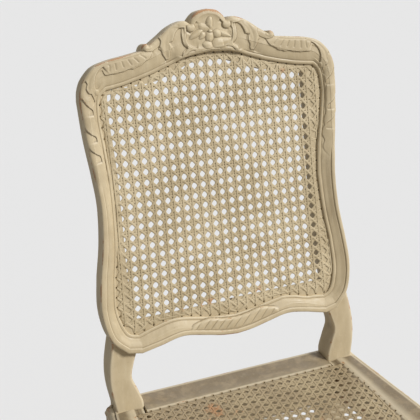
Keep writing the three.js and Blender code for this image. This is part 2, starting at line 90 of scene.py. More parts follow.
# Outlines of the back on its right side: shares of its half width, and levels up the raked plane.
# Level 0 is the seat, 1 the top of the lower rail, 2 the foot of the crest rail and 3 the crest's
# top.
DOME_SHARES = [(0, 3), (0.07, 2.974), (0.118, 2.9), (0.139, 2.83)]
SCROLL_SHARES = [
    (0.139, 2.83), (0.18, 2.874), (0.235, 2.855), (0.3, 2.8), (0.37, 2.71), (0.456, 2.606),
]
BUD_SHARES = [(0.456, 2.606), (0.47, 2.634), (0.49, 2.626), (0.504, 2.598), (0.511, 2.556)]
SHOULDER_SHARES = [
    (0.511, 2.556), (0.64, 2.527), (0.765, 2.494), (0.868, 2.425), (0.942, 2.286), (0.976, 2.14),
    (0.986, 2),
]
STILE_SHARES = [
    (0.986, 2), (0.974, 1.83), (0.947, 1.667), (0.926, 1.516), (0.937, 1.343),
    (0.977, 1.18), (1, 1.052), (0.987, 0.898), (0.947, 0.753), (0.861, 0.634),
]
SILL_SHARES = [(0, 0.581), (0.127, 0.6), (0.253, 0.638), (0.43, 0.68), (0.61, 0.638),
               (0.759, 0.604)]
SILL_MOULDING_SHARES = [(0, 0.787), (0.2, 0.81), (0.456, 0.871), (0.633, 0.829), (0.76, 0.776)]
SIDE_MOULDING_SHARES = [
    (0.76, 0.776), (0.825, 0.803), (0.861, 0.917), (0.874, 1.043), (0.846, 1.176),
    (0.815, 1.323), (0.805, 1.507), (0.81, 1.699), (0.82, 1.909), (0.812, 2), (0.77, 2.1),
]
TOP_MOULDING_SHARES = [(0.77, 2.1), (0.594, 2.142), (0.354, 2.284), (0.18, 2.389), (0, 2.426)]
ARCH_SHARES = [(1, 2), (0.96, 2.094), (0.64, 2.104), (0.42, 2.189), (0.2, 2.306), (0, 2.347)]

# The posts and rear legs
POST_CENTRE = 173
POST_WIDTH = 42
POST_DEPTH = 34
POST_RECESS = 4.5
POST_INNER = POST_CENTRE - POST_WIDTH / 2
POST_OUTER = POST_CENTRE + POST_WIDTH / 2
POST_ROUND = 3.5
REAR_FOOT_WIDTH = 31
REAR_FOOT_SPLAY = 7
REAR_FOOT_SETBACK = 92
POST_SHARES = [
    (0, 0, 1), (0.07, 0.03, 1.02), (0.2, 0.14, 0.94), (0.34, 0.23, 0.81), (0.48, 0.16, 0.88),
    (0.6, 0.05, 0.95), (0.7, -0.015, 0.93), (0.75, -0.045, 0.91),
]
REAR_LEG_SHARES = [
    (0, 1, 1), (0.12, 0.84, 0.97), (0.35, 0.48, 0.78), (0.6, 0.17, 0.42), (0.82, 0.03, 0.1),
    (1, 0, 0),
]

# The seat
SEAT_DEPTH = 440
SEAT_FRONT_HALF = 247
SEAT_REAR_HALF = 206
SEAT_BORDER = 39
SEAT_OPENING_EDGE = 55
REAR_RAIL_DEPTH = 62
BARE_RAIL_DEPTH = 45
RAIL_BOTTOM = 392
RECESS_FLOOR = 447.3
SHOULDER_RETURN = 10
FRONT_LEG_WIDTH = 50
FRONT_LEG_INNER = SEAT_FRONT_HALF - FRONT_LEG_WIDTH
FRONT_LEG_BACK = SEAT_OPENING_EDGE - SEAT_DEPTH
CORNER_RADIUS = 34
FRONT_BOW = 10
SIDE_LIFT = 14
APRON_LIFT = 10
APRON_DROP = 18
JOINT_GAP = 0.3

# The seat's outline on its right side, as shares. Its flank: how far the seat has flared from rear
# to front, and how far forward. Its front: how far out to the corner, and how far bowed back.
FLANK_SHARES = [(1, 0.86), (0.98, 0.74), (0.72, 0.5), (0.3, 0.24), (0, 0.06)]
BOW_SHARES = [(0, 0), (0.35, 0.5), (0.7, 1), (1, 1)]

# Section of the seat's edge: how far in from the outline, and how far below the top
SEAT_EDGE = [
    (11.5, 0), (11, 0.25), (10.6, 1.2), (9.9, 1.6), (8, 1.9), (6, 2.7), (4.2, 4.1), (2.9, 6),
    (2.1, 8.4), (1.2, 10.2), (0.3, 11.4), (0, 13), (0.2, 14.6), (1.2, 15.6), (1.9, 16.4), (2, 20),
]

# Lower edge of a seat rail's face: how far in the face lies, and its bead and groove, each as its
# size, how high it runs over the edge, and its width
RAIL_FACE_INSET = 2
RAIL_BEAD = (1.8, 4.5, 2.6)
RAIL_GROOVE = (0.6, 9.6, 1.2)
RAIL_UNDER_INSET = 3.2

# Lower edge of the front rail, from its middle: shares of its half length and of its rise
APRON_SHARES = [(0, 0), (0.13, 0.06), (0.3, 0.55), (0.5, 0.95), (0.72, 1), (1, 0.64)]

# Section of the rear rail: places back from the posts' line, and heights
RAIL_MIDDLE = (SEAT_TOP + RAIL_BOTTOM) / 2
REAR_RAIL_SECTION = [
    (-REAR_RAIL_DEPTH, RECESS_FLOOR), (-52, RECESS_FLOOR + 0.5), (-BARE_RAIL_DEPTH, SEAT_TOP - 0.1),
    (-BARE_RAIL_DEPTH + 3, SEAT_TOP), (-BARE_RAIL_DEPTH / 2, SEAT_TOP), (-8, SEAT_TOP),
    (-4.5, SEAT_TOP), (-3, SEAT_TOP - 0.2), (-1.6, SEAT_TOP - 0.9), (-0.5, SEAT_TOP - 2.2),
    (0, SEAT_TOP - 4), (0, SEAT_TOP - 8), (0, RAIL_MIDDLE), (0, RAIL_BOTTOM + 7),
    (0, RAIL_BOTTOM + 3), (-0.8, RAIL_BOTTOM + 0.8), (-3, RAIL_BOTTOM), (-7, RAIL_BOTTOM),
    (-REAR_RAIL_DEPTH / 2, RAIL_BOTTOM), (7 - REAR_RAIL_DEPTH, RAIL_BOTTOM),
    (2 - REAR_RAIL_DEPTH, RAIL_BOTTOM), (-REAR_RAIL_DEPTH, RAIL_BOTTOM + 2),
    (-REAR_RAIL_DEPTH, RAIL_BOTTOM + 8), (-REAR_RAIL_DEPTH, RAIL_MIDDLE),
    (-REAR_RAIL_DEPTH, RECESS_FLOOR - 5),
]

# The front legs, their rows from the floor to the rail: height, outward reach and width
KNEE_TOP = 398
KNEE_REACH = 9
ANKLE_REACH = 11
KNEE_WIDTH = 44
ANKLE_WIDTH = 25
FOOT_WIDTH = 35
FRONT_LEG_ROWS = [
    (0, 0.35 * KNEE_REACH, 0.86 * FOOT_WIDTH),
    (0.035 * KNEE_TOP, 0.6 * KNEE_REACH, FOOT_WIDTH),
    (0.08 * KNEE_TOP, 0.2 * KNEE_REACH, 0.92 * FOOT_WIDTH),
    (0.13 * KNEE_TOP, -0.55 * ANKLE_REACH, 1.08 * ANKLE_WIDTH),
    (0.22 * KNEE_TOP, -ANKLE_REACH, ANKLE_WIDTH),
    (0.4 * KNEE_TOP, -0.75 * ANKLE_REACH, 1.12 * ANKLE_WIDTH),
    (0.62 * KNEE_TOP, 0.15 * KNEE_REACH, 0.66 * KNEE_WIDTH),
    (0.8 * KNEE_TOP, 0.86 * KNEE_REACH, 0.86 * KNEE_WIDTH),
    (0.92 * KNEE_TOP, 0.52 * KNEE_REACH, 0.98 * KNEE_WIDTH),
    (KNEE_TOP, 0, KNEE_WIDTH),
]


# Lines and places

# How many points are compared at a time, so that little memory is used
BATCH = 4000


def spline(points, steps=14):
    """Dense points along a smooth curve through control points."""
    p = np.array(points, float)
    before = np.vstack([p[:1], p[:-2]])
    after = np.vstack([p[2:], p[-1:]])
    t = np.linspace(0, 1, steps, endpoint=False)[None, :, None]
    a, b = p[:-1, None], p[1:, None]
    ta, tb = (b - before[:, None]) / 2, (after[:, None] - a) / 2
    curve = (2 * a - 2 * b + ta + tb) * t**3 + (3 * b - 3 * a - 2 * ta - tb) * t**2 + ta * t + a
    return np.vstack([curve.reshape(-1, p.shape[1]), p[-1:]])


def joined(*lines):
    """One line from several that meet end to end."""
    return np.vstack([lines[0], *[line[1:] for line in lines[1:]]])


def level_height(level):
    """How far up the raked plane a level lies."""
    level = np.asarray(level, float)
    upper = np.where(level < 2, SILL_HEIGHT + (level - 1) * (CREST_FOOT - SILL_HEIGHT),
                     CREST_FOOT + (level - 2) * CREST_RISE)
    return np.where(level < 1, level * SILL_HEIGHT, upper)


def back_curve(shares, half_width=HALF_WIDTH):
    """A smooth line through shares of a half width and levels of the back."""
    table = np.array(shares, float)
    return spline(np.column_stack([table[:, 0] * half_width, level_height(table[:, 1])]))


class Line:
    """A dense line of points with its arc length."""

    def __init__(self, points):
        self.points = np.array(points, float)
        self.arc = travelled(self.points)

    def at(self, arc):
        """Points at the given arc lengths."""
        return np.column_stack([np.interp(arc, self.arc, column) for column in self.points.T])

    def arc_of(self, place):
        """The arc length at the point of the line nearest to a place."""
        a, b = self.points[:-1], self.points[1:]
        along = b - a
        t = np.clip(((place - a) * along).sum(1) / (along**2).sum(1), 0, 1)
        near = np.linalg.norm(a + along * t[:, None] - place, axis=1)
        k = int(near.argmin())
        return self.arc[k] + t[k] * (self.arc[k + 1] - self.arc[k])


def distance_to(points, line):
    """The distance of each point to a dense line."""
    a, b = line[:-1], line[1:]
    along = b - a
    square = np.maximum((along**2).sum(1), 1e-9)
    best = np.full(len(points), np.inf)
    for start in range(0, len(points), BATCH):
        part = points[start:start + BATCH, None]
        t = np.clip(((part - a) * along).sum(2) / square, 0, 1)
        gaps = np.linalg.norm(a + along * t[:, :, None] - part, axis=2)
        best[start:start + BATCH] = gaps.min(1)
    return best


def stations(lines, keys, spacing):
    """Matched points along several lines. A key gives one place on every line."""
    arcs = np.array([
        [line.arc_of(np.array(place, float)) for line, place in zip(lines, key)] for key in keys
    ])
    shares = [np.zeros(1)]
    for k in range(len(keys) - 1):
        steps = max(2, math.ceil(abs(arcs[k + 1, -1] - arcs[k, -1]) / spacing))
        shares.append(k + np.arange(1, steps + 1) / steps)
    share = np.concatenate(shares)
    places = np.arange(len(keys))
    return [line.at(np.interp(share, places, arcs[:, k])) for k, line in enumerate(lines)]


def mirrored(rows):
    """Rows of points that run to the middle line, carried on to the other side."""
    return np.vstack([rows, rows[-2::-1] * [-1, 1]])


def both_sides(outline):
    """A closed outline from its right half, whose ends lie on the middle line."""
    return np.vstack([outline, np.array(outline)[-2:0:-1] * [-1, 1]])


def on_side(side, *lines):
    """Lines of the chair's right side, or for a side of -1 their mirror images on its left."""
    return [line * np.array([side, 1]) for line in lines]


def travelled(points):
    """How far along a line each of its points lies."""
    return np.concatenate([[0], np.cumsum(np.linalg.norm(np.diff(points, axis=0), axis=1))])


def directions(points):
    """Unit directions along a line at each of its points."""
    way = np.gradient(points, axis=0)
    return way / np.maximum(np.linalg.norm(way, axis=1), 1e-9)[:, None]


def turned_left(ways):
    return np.column_stack([-ways[:, 1], ways[:, 0]])


def on_back(u, v, w):
    """Places on the raked back, in metres in the row frame."""
    y = POST_BACK - BACK_SETBACK + v * math.sin(RAKE) + w * math.cos(RAKE)
    z = SEAT_TOP + v * math.cos(RAKE) - w * math.sin(RAKE)
    return np.stack([u, y, z], -1) * MM


def on_seat(x, y, z):
    """Places on the seat or legs, in metres in the row frame."""
    return np.stack(np.broadcast_arrays(x, y + POST_BACK, z), -1) * MM


# Meshes

# How relief is judged, in millimetres: against a surface smoothed by so many passes of short steps,
# and counted as full at so much above or below it
SMOOTHING_PASSES = 7
LONGEST_STEP = 0.3
FULL_RELIEF = 0.3

# Edges sharper than this, in degrees, are shown as edges
SHARP_WOOD = 38
SHARP_CANE = 70


def relief_of(rings):
    """How far each place of a loft lies below its smoothed surroundings, or above as a minus."""
    around = np.roll(rings, -1, 1) - np.roll(rings, 1, 1)
    normals = np.cross(around, np.gradient(rings, axis=0))
    normals /= np.maximum(np.linalg.norm(normals, axis=2), 1e-12)[..., None]
    outward = (normals * (rings - rings.mean(1, keepdims=True))).sum(2)
    normals *= np.sign(outward.mean())
    smooth = rings.copy()
    for _ in range(SMOOTHING_PASSES):
        padded = np.concatenate([smooth[:1], smooth, smooth[-1:]])
        middle = (np.roll(smooth, 1, 1) + np.roll(smooth, -1, 1) + padded[:-2] + padded[2:]) / 4
        step = (middle - smooth) / 2
        length = np.maximum(np.linalg.norm(step, axis=2), 1e-12)
        smooth += step * np.minimum(1, LONGEST_STEP * MM / length)[..., None]
    return np.clip(((smooth - rings) * normals).sum(2) / (FULL_RELIEF * MM), -1, 1)


def loft_faces(rows, columns):
    """Faces over rows of closed rings, listed one ring after another, with both ends filled."""
    r, c = np.meshgrid(np.arange(rows - 1), np.arange(columns), indexing="ij")
    here, after = r * columns + c, r * columns + (c + 1) % columns
    faces = np.stack([here, after, after + columns, here + columns], -1).reshape(-1, 4).tolist()
    faces.append(list(range(columns - 1, -1, -1)))
    faces.append(list(range((rows - 1) * columns, rows * columns)))
    return faces


def closed_loft(rings, carved=None):
    """Vertices, faces and relief of a skin over closed rings, with both ends filled.

    Only the first places of each ring, as many as are carved, keep their relief.
    """
    relief = relief_of(rings)
    if carved:
        relief[:, carved:] = 0
    return rings.reshape(-1, 3), loft_faces(*rings.shape[:2]), relief.ravel()


def placed(name, data):
    """A new object in the scene."""
    thing = bpy.data.objects.new(name, data)
    bpy.context.scene.collection.objects.link(thing)
    return thing


def new_mesh(name, parts, weld=0.02, relief_name="hollow"):
    """A mesh object from closed parts, with its normals outwards and a value at each vertex."""
    mesh = bpy.data.meshes.new(name)
    faces, offset = [], 0
    for points, polygons, _ in parts:
        faces.extend([[index + offset for index in polygon] for polygon in polygons])
        offset += len(points)
    mesh.from_pydata(np.vstack([points for points, _, _ in parts]), [], faces)
    values = np.concatenate([value for _, _, value in parts]).astype(np.float32)
    mesh.attributes.new(relief_name, "FLOAT", "POINT").data.foreach_set("value", values)
    work = bmesh.new()
    work.from_mesh(mesh)
    if weld:
        bmesh.ops.remove_doubles(work, verts=work.verts, dist=weld * MM)
    big = [face for face in work.faces if len(face.verts) > 5]
    bmesh.ops.triangulate(work, faces=big, ngon_method="EAR_CLIP")
    bmesh.ops.recalc_face_normals(work, faces=work.faces)
    work.to_mesh(mesh)
    work.free()
    return placed(name, mesh)


def combined(piece, others, operation):
    """Joins or cuts a piece with others, which are used up."""
    for other in others:
        change = piece.modifiers.new("joinery", "BOOLEAN")
        change.operation = operation
        change.solver = "MANIFOLD"
        change.object = other
    graph = bpy.context.evaluated_depsgraph_get()
    made = bpy.data.meshes.new_from_object(piece.evaluated_get(graph))
    piece.modifiers.clear()
    piece.data = made
    for other in others:
        bpy.data.objects.remove(other)
    return piece


# Places where the paint has worn through: across, up or back, radius and strength
WORN_FRAME = [
    (-19, 549.8, 3.6, 0.75), (-15.5, 552, 4, 0.95), (-12, 553.6, 4.2, 1.0), (-8, 554.8, 4.4, 1.0),
    (-4, 555.6, 4.6, 1.04), (0, 555.8, 4.8, 1.04), (4, 555.6, 4.8, 1.04), (8, 554.8, 4.8, 1.04),
    (12, 553.4, 4.6, 1.04), (15.5, 551.6, 4.4, 1.0), (19, 549.2, 4, 0.95), (22.5, 545.8, 3.2, 0.75),
    (96, 517, 6, 0.6), (-98, 517, 6, 0.7), (-140, 506, 12, 0.55), (-120, 510, 9, 0.5),
    (-162, 500, 10, 0.5), (-192, 455, 12, 0.55), (0, 84, 22, 0.5), (-20, 86, 14, 0.45),
    (-186, 352, 14, 0.4), (45, 541, 10, 0.3), (-196, 185, 14, 0.35), (192, 470, 14, 0.3),
]
WORN_BACK_CANE = [
    (-32, 138, 9, 0.9), (-26, 128, 8, 0.8), (-50, 136, 7, 0.6), (16, 130, 8, 0.8),
    (28, 136, 8, 0.9), (42, 140, 7, 0.8), (68, 133, 5, 0.7), (-80, 136, 5, 0.7), (-2, 124, 7, 0.5),
    (140, 455, 5, 0.7), (112, 462, 5, 0.6), (30, 300, 12, 0.35), (-70, 220, 10, 0.35),
    (60, 190, 12, 0.4),
]
WORN_SEAT_CANE = [
    (-60, -80, 20, 0.9), (-35, -95, 16, 0.8), (-75, -105, 14, 0.7), (60, -160, 26, 0.5),
    (-20, -240, 34, 0.5), (90, -280, 28, 0.45), (0, -330, 30, 0.45),
]


def mark_worn(piece, spots, seat=False):
    """Stores where the paint of the back, or of the seat, has worn through."""
    mesh = piece.data
    places = np.empty(len(mesh.vertices) * 3)
    mesh.vertices.foreach_get("co", places)
    x, y, z = places.reshape(-1, 3).T / MM
    away = y - (POST_BACK - BACK_SETBACK)
    second = y - POST_BACK if seat else away * math.sin(RAKE) + (z - SEAT_TOP) * math.cos(RAKE)
    value = np.zeros(len(x))
    for across, other, radius, strength in spots:
        gap = (x - across)**2 + (second - other)**2
        value = np.maximum(value, strength * np.exp(-gap / radius**2))
    layer = mesh.attributes.new("worn", "FLOAT", "POINT")
    layer.data.foreach_set("value", value.astype(np.float32))


def finish_piece(piece, material, node, sharp=SHARP_WOOD):
    """Gives a piece its finish, its smooth shading and its place in the frame."""
    piece.data.materials.clear()
    piece.data.materials.append(material)
    piece.data.shade_smooth()
    piece.data.set_sharp_from_angle(angle=math.radians(sharp))
    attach(piece, "root")
    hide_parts(node)


# The back's frame

def back_edge(*tables):
    """A line on the back through tables of shares that meet end to end."""
    return joined(*[back_curve(shares) for shares in tables])


CREST_OUTER = Line(back_edge(DOME_SHARES, SCROLL_SHARES, BUD_SHARES, SHOULDER_SHARES)[::-1])
STILE_OUTER = Line(joined(back_edge(STILE_SHARES), back_edge(SILL_SHARES)[::-1])[::-1])
INNER_EDGE = Line(back_edge(SILL_MOULDING_SHARES, SIDE_MOULDING_SHARES, TOP_MOULDING_SHARES))
OPENING_EDGE = Line(joined(
    [(0, SILL_HEIGHT), (OPENING_HALF_WIDTH, SILL_HEIGHT), (OPENING_HALF_WIDTH, CREST_FOOT)],
    back_curve(ARCH_SHARES, OPENING_HALF_WIDTH),
))
EVEN_LOOP = both_sides(INNER_EDGE.points)
OPENING_MIDDLE = 300

# Where the worn frame lies off the even drawing: a place on its inner or outer edge, and how far to
# move it. Across the frame's front, either move fades out over the shares given.
INNER_MOVE_FADE = (0, 0.6)
OUTER_MOVE_FADE = (0.4, 1)
OPENING_MOVED = [
    ((0, 115), (0, -2.6)), ((50, 120), (0, -0.6)), ((80, 126), (0, -1.8)), ((95, 127), (0, -5)),
    ((115, 124), (0, -6.8)), ((126, 121), (0, -6)), ((148, 114), (0, -1.5)),
    ((163, 117), (-3.5, 1)), ((170, 134), (-3.5, 0)), ((172.6, 160), (-3, 0)), ((167, 200), (0, 0)),
    ((161, 245), (-1, 0)), ((159, 300), (-3.4, 0)), ((160, 345), (-1, 0)), ((161, 385), (5.5, 0)),
    ((162, 424), (10, 0)), ((160.4, 452), (8.5, 0)), ((152, 462.6), (8.5, 1)),
    ((117, 467), (0, 3.6)), ((84, 477), (0, 1.4)), ((27, 494.5), (0, 2.6)), ((0, 497), (0, 2.2)),
    ((-27, 494.5), (0, 1.6)), ((-84, 477), (0, 1.5)), ((-117, 467), (0, 3)),
    ((-152, 462.6), (-4, 0)), ((-160.4, 452), (-6, 0)), ((-162, 424), (-7, 0)),
    ((-161, 385), (-5, 0)), ((-160, 345), (-3.7, 0)), ((-159, 300), (-4.5, 0)),
    ((-161, 245), (-5.8, 0)), ((-167, 200), (-7.2, 0)), ((-172.6, 160), (-5, 0)),
    ((-170, 134), (-2, 0)), ((-163, 117), (0, 0)), ((-148, 114), (0, -1)), ((-90, 127), (0, -2)),
    ((-50, 120), (0, -1.4)),
]
OUTLINE_MOVED = [
    ((0, 85), (0, -0.8)), ((50, 93), (0, -1.5)), ((85, 99), (0, -1.5)), ((118, 93.5), (0, -0.8)),
    ((149, 88), (0, -3.5)), ((170, 92.6), (-1, -3)), ((189.5, 114), (-2, -1)),
    ((197, 165), (-2, 0)), ((185, 250), (-1.5, 0)), ((184, 300), (-1, 0)), ((187, 350), (0, 0)),
    ((194, 452), (0, 0)), ((0, 558), (0, 0)), ((-90, 516), (0, 0)), ((-101, 511), (0, -1)),
    ((-125, 507.5), (0, -2)), ((-150, 502.5), (0, -2.6)), ((-181, 487), (0.6, -1.6)),
    ((-194, 452), (0, 0)), ((-187, 350), (0, 0)), ((-184, 300), (-1, 0)), ((-185, 250), (-3, 0)),
    ((-192, 205), (-4.2, 0)), ((-197, 165), (-3.8, 0)), ((-189.5, 114), (-2, -1)),
    ((-170, 92.6), (0, -2)), ((-149, 88), (0, -2)), ((-85, 99), (0, -1)),
]

# Matched places on the opening's edge, the moulding's inner edge and the outer edge
CREST_KEYS = [
    ((149, 452), (160.4, 452), (194, 452)),
    ((147, 457), (158, 457.5), (190.5, 472)),
    ((143, 462), (152, 462.6), (181, 487)),
    ((134, 462.5), (140, 464.5), (150, 502.5)),
    ((112, 462.6), (117.3, 467), (125, 507.5)),
    ((92, 463.5), (93, 473), (100.9, 511.1)),
    ((82, 466), (84, 476.5), (90.1, 516.2)),
    ((46, 478), (47, 489), (46.4, 542.6)),
    ((27, 485.5), (27, 494.5), (27.45, 540)),
    ((0, 488.8), (0, 497.2), (0, 558)),
]
STILE_KEYS = [
    ((149, 146), (149, 113.6), (149, 88.2)),
    ((149, 146), (162.9, 117.2), (170, 92.6)),
    ((149, 149), (170, 133.9), (189.5, 114)),
    ((149, 163), (172.6, 160), (197.3, 165)),
    ((149, 250), (161, 250), (185, 250)),
    ((149, 350), (160, 350), (187, 350)),
    ((149, 452), (160.4, 452), (194, 452)),
]
SILL_KEYS = [
    ((149, 146), (149, 113.6), (149, 88.2)),
    ((120, 146), (120, 121.5), (118, 93.5)),
    ((85, 146), (87, 127.5), (85, 99)),
    ((50, 146), (50, 120), (50, 93)),
    ((0, 146), (0, 115), (0, 84.8)),
]

# Height profiles of the moulding: a distance across it, and a depth below the front of the frame
BEAD_PROFILE = spline([
    (0, 8.2), (0.4, 7.6), (1.2, 7.1), (2.6, 6.8), (3.9, 6.9), (4.6, 7.2), (5.2, 6.7), (6.4, 6.0),
    (9, 5.0), (12, 4.0), (16, 3.2), (20, 2.8), (90, 2.7),
])
SHOULDER_BEAD_PROFILE = spline([
    (0, 8.2), (0.4, 7.4), (1.2, 6.7), (2.6, 6.2), (4.4, 6.1), (5.5, 6.2), (6.2, 5.6), (7.2, 5.0),
    (10, 4.0), (14, 2.8), (18, 1.8), (22, 1.0), (26, 0.6), (90, 0.5),
])
FLOWER_FOOT_PROFILE = spline([
    (0, 8.2), (0.3, 6.4), (0.8, 4.4), (1.4, 3.0), (2.2, 2.0), (3.2, 1.4), (4.6, 1.0), (7, 0.7),
    (90, 0.5),
])
BAND_PROFILE = spline([
    (0, 2.2), (0.35, 1.2), (1.1, 0.5), (2.4, 0.1), (4.4, 0.1), (5.8, 0.3), (6.5, 0.7), (7.1, 1.8),
    (8, 1.9), (9.8, 2.1), (12, 2.4), (15, 2.6),
])
BAND_WIDTH = 7.5
EDGE_PROFILE = spline([(0, 4.2), (0.4, 3.0), (1.4, 1.7), (3, 0.8), (5, 0.25), (7.5, 0), (12, 0)])

# The carved face of the crest and stiles: its depth, the depth at which the profiles under it end,
# and the distances across the moulding over which the carving begins, at the flower and beside it
FACE_DEPTH = 0.8
PROFILE_END = 0.5
FLOWER_START = (1.2, 3)
SHOULDER_START = (3.6, 5.2)
FLOWER_HALF_WIDTH = (40, 58)
PROUDEST = 2.2
DEEPEST_STEP = 3.2

# Steps: how far one acts, in reaches, the ease past its ends, and its wall to the right and left
STEP_MARGIN = 2.3
STEP_END_EASE = 1.3
STEP_WALL = (-0.55, 0.45)
READ_ASIDE = 0.8

# Steps cut into the right half of the back, across and up in millimetres. The wood drops to the
# left of each line as it runs, by the given depth, and rises again over the given reach. The lines
# lie deeper than the face that they were read on, so each is moved out or in by READ_ASIDE, as its
# last number says.
STEPS = [
    # scroll over the panel
    ([(37, 535.5), (43, 535), (48, 531.5), (51, 527), (53, 522), (53.8, 519.5), (57, 518)][::-1],
     2.3, 9, 1),
    # volute of the scroll, beside the dome and beside the cartouche
    ([(28.5, 528.6), (23.4, 530.2), (20.9, 533.6), (21.4, 537.4), (18.6, 541.4)], 2.4, 4, 0.3),
    ([(31.8, 536.5), (32.3, 532), (29, 528.2)], 1.8, 3, -0.3),
    # leaf that hangs from the scroll, inner and outer edge
    ([(59.5, 517), (57.5, 512), (57.7, 508), (60, 503), (60, 498), (61.5, 494.5), (65, 494)][::-1],
     1.2, 6, 1),
    ([(75, 525), (73.5, 521), (74.5, 516), (77, 510.5), (74, 508), (72, 502), (69, 497), (67, 493)],
     1.8, 9, -1),
    # border of the cartouche, outer edge, foot and inner edge
    ([(41, 534), (42, 528), (42, 520), (41, 514), (38.5, 509.5), (35.5, 506.7)], 2.2, 8, -1),
    ([(35.5, 506.7), (39, 504.2), (42, 501), (43.5, 496)], 1.5, 6, -1),
    ([(33, 531), (34.5, 527), (34.3, 520), (33.3, 515), (30.5, 509.5), (26, 506), (20, 504)][::-1],
     1.4, 7, 1),
    ([(24, 502.3), (30, 501.5), (34, 499), (36.5, 496.2)][::-1], 1.2, 2.5, 1),
    # shell of the shoulder, from the bud along its lower edge to its outer end
    ([(76, 513.5), (80, 511), (84.5, 509), (87, 505), (90, 500.3), (93, 497.8), (96.5, 496.6),
      (100, 494), (104, 490.8), (109.5, 489.5), (114.5, 487.2), (119, 488.2), (123.5, 487.6),
      (128, 485.4), (133, 485.4), (139, 483.8), (146, 484.4), (152, 483.4), (156, 485),
      (158.5, 491)][::-1], 1.6, 8, 0.4),
    # bud over the shell
    ([(86, 508.6), (91, 508.6), (96, 509.4), (98, 512)][::-1], 1.2, 4, -1),
    # roll of the corner, inner edge and outer end
    ([(158, 496.5), (163, 493.2), (168, 487), (170.5, 481), (171.5, 475), (170.5, 469),
      (167.5, 465.3)][::-1], 2.3, 9, 0.6),
    ([(184.5, 479), (183.2, 475), (185, 470), (184, 465), (181, 461.2), (178.6, 461), (175, 456),
      (171, 451)], 1.8, 7, -1),
    # lobes of the leaf on the stile, and its scalloped border
    ([(192, 455), (188, 448), (184, 443.5), (178.5, 438.5), (177.8, 433)], 1.6, 10, -1),
    ([(195, 422), (190.5, 412), (185, 406.5), (179, 402.5), (177.8, 397)], 1.6, 11, -1),
    ([(192, 391), (187, 384), (181, 379), (175.5, 375.5), (173.8, 369)], 1.6, 11, -1),
    ([(170.2, 457), (171.3, 450), (174, 440), (176.2, 432), (174.5, 425), (172.2, 421),
      (173.6, 410), (170.8, 402), (172.3, 395), (171.8, 390), (169, 386), (167.7, 379),
      (168.8, 373), (166, 368), (164.6, 363), (165.6, 358), (168.2, 353), (168.8, 349),
      (166.8, 343), (166.6, 339), (168.6, 334), (172, 329), (175.5, 323)][::-1], 0.9, 3.4, 1),
]

# Soft grooves on the right half: line, width and depth
GROOVES = [
    ([(46, 538.6), (56, 534), (62.5, 526), (66, 516), (66.5, 506), (65.5, 498)], 2.6, 0.7),
    ([(51, 533.5), (57, 527.5), (60.5, 519), (63, 509)], 2.2, 0.5),
    ([(103, 508.6), (112, 506.2), (122, 504.9), (132, 504.2), (142, 503.2), (149, 502.4)], 1.1,
     0.8),
    ([(151, 499.6), (161, 496.6), (170, 491), (176.5, 484.5), (180, 477), (181.2, 469)], 2.2, 0.6),
    ([(97, 500.5), (100, 503.5), (103.5, 506)], 1.2, 0.6),
    ([(107.5, 496.8), (110, 500), (113, 503.3)], 1.2, 0.6),
    ([(118, 494.6), (119.8, 498), (121.6, 501.6)], 1.2, 0.6),
    ([(129, 492.6), (130, 496), (130.8, 500.4)], 1.2, 0.6),
    ([(140, 490.4), (140.2, 494.5), (140.4, 499)], 1.2, 0.6),
    ([(149.4, 489.6), (148.6, 494), (148.8, 498)], 1.2, 0.6),
]

# Lobes on the right half: centre across and up, half length, half width, turn in degrees and height
LOBES = [
    (27, 534.8, 6.2, 5.6, 0, 2.2), (92.5, 514.2, 7, 4.0, -8, 1.8),
    (166.3, 461.6, 6.4, 4.2, 24, 2.0),
]

# Petals and leaves of the crest's flower: outline, width of the rounded edge and height
FLOWER = [
    ([(-15.4, 538), (-14.8, 532.6), (-11, 528.8), (-3, 527), (5, 530), (6, 535.5), (1, 538.4),
      (-5, 537.8), (-11, 539.4)], 9, 1.8),
    ([(-4.2, 536), (-3, 542), (1.6, 546.8), (5.8, 545.6), (6.6, 539.6), (5, 532.6), (1, 530.6)],
     4.6, 2.8),
    ([(-31, 518), (-28.4, 523.4), (-23, 528), (-16, 530.8), (-9.4, 530.4), (-11, 525.4),
      (-18, 520.8), (-25, 518.8)], 5.4, 2.1),
    ([(-16.4, 516.6), (-10.4, 517.2), (-6, 521), (-7, 526), (-12, 527), (-15, 522.4)], 5, 2.1),
    ([(2, 504.6), (7, 501.6), (16, 500.6), (25, 503.2), (30.6, 508), (33, 514.4), (28, 516),
      (18, 516.8), (9, 516.6), (3, 511)], 11, 3.0),
    ([(15, 527.4), (21, 526.4), (28, 522.4), (33, 516.4), (28, 516), (21, 516.8), (16, 519.2),
      (13, 523.4)], 6.4, 2.1),
    ([(-6.2, 513), (-6.6, 519.6), (-4, 525.6), (2, 526.6), (6, 521.6), (4, 513.4), (-1, 510)], 7,
     2.7),
    ([(-7.6, 513), (-11.6, 510), (-11.6, 506.4), (-8, 502.4), (-2, 501), (3, 504), (2, 510),
      (-2.6, 513)], 6, 2.3),
    ([(5, 521.4), (6.4, 517.8), (11, 515.8), (16, 517.6), (18, 522.4), (15.4, 527.4), (10, 529),
      (6, 526.4)], 7.4, 3.0),
    ([(-2.6, 526.6), (-0.4, 524.4), (3.4, 525), (4.8, 527.6), (2.6, 529.6), (-1, 529.4)], 3.2, 3.1),
]
DOME_DISH = [(0, 503), (20, 504), (32, 512), (33, 524), (24, 529), (20, 540), (15, 546.5), (8, 550),
             (0, 551.5)]
DISH_DEPTH, DISH_EDGE = 1.5, 7
PETAL_UNDER_PETAL = 0.8
PETAL_ROUND = 0.7
LOBE_FOOT = 0.9

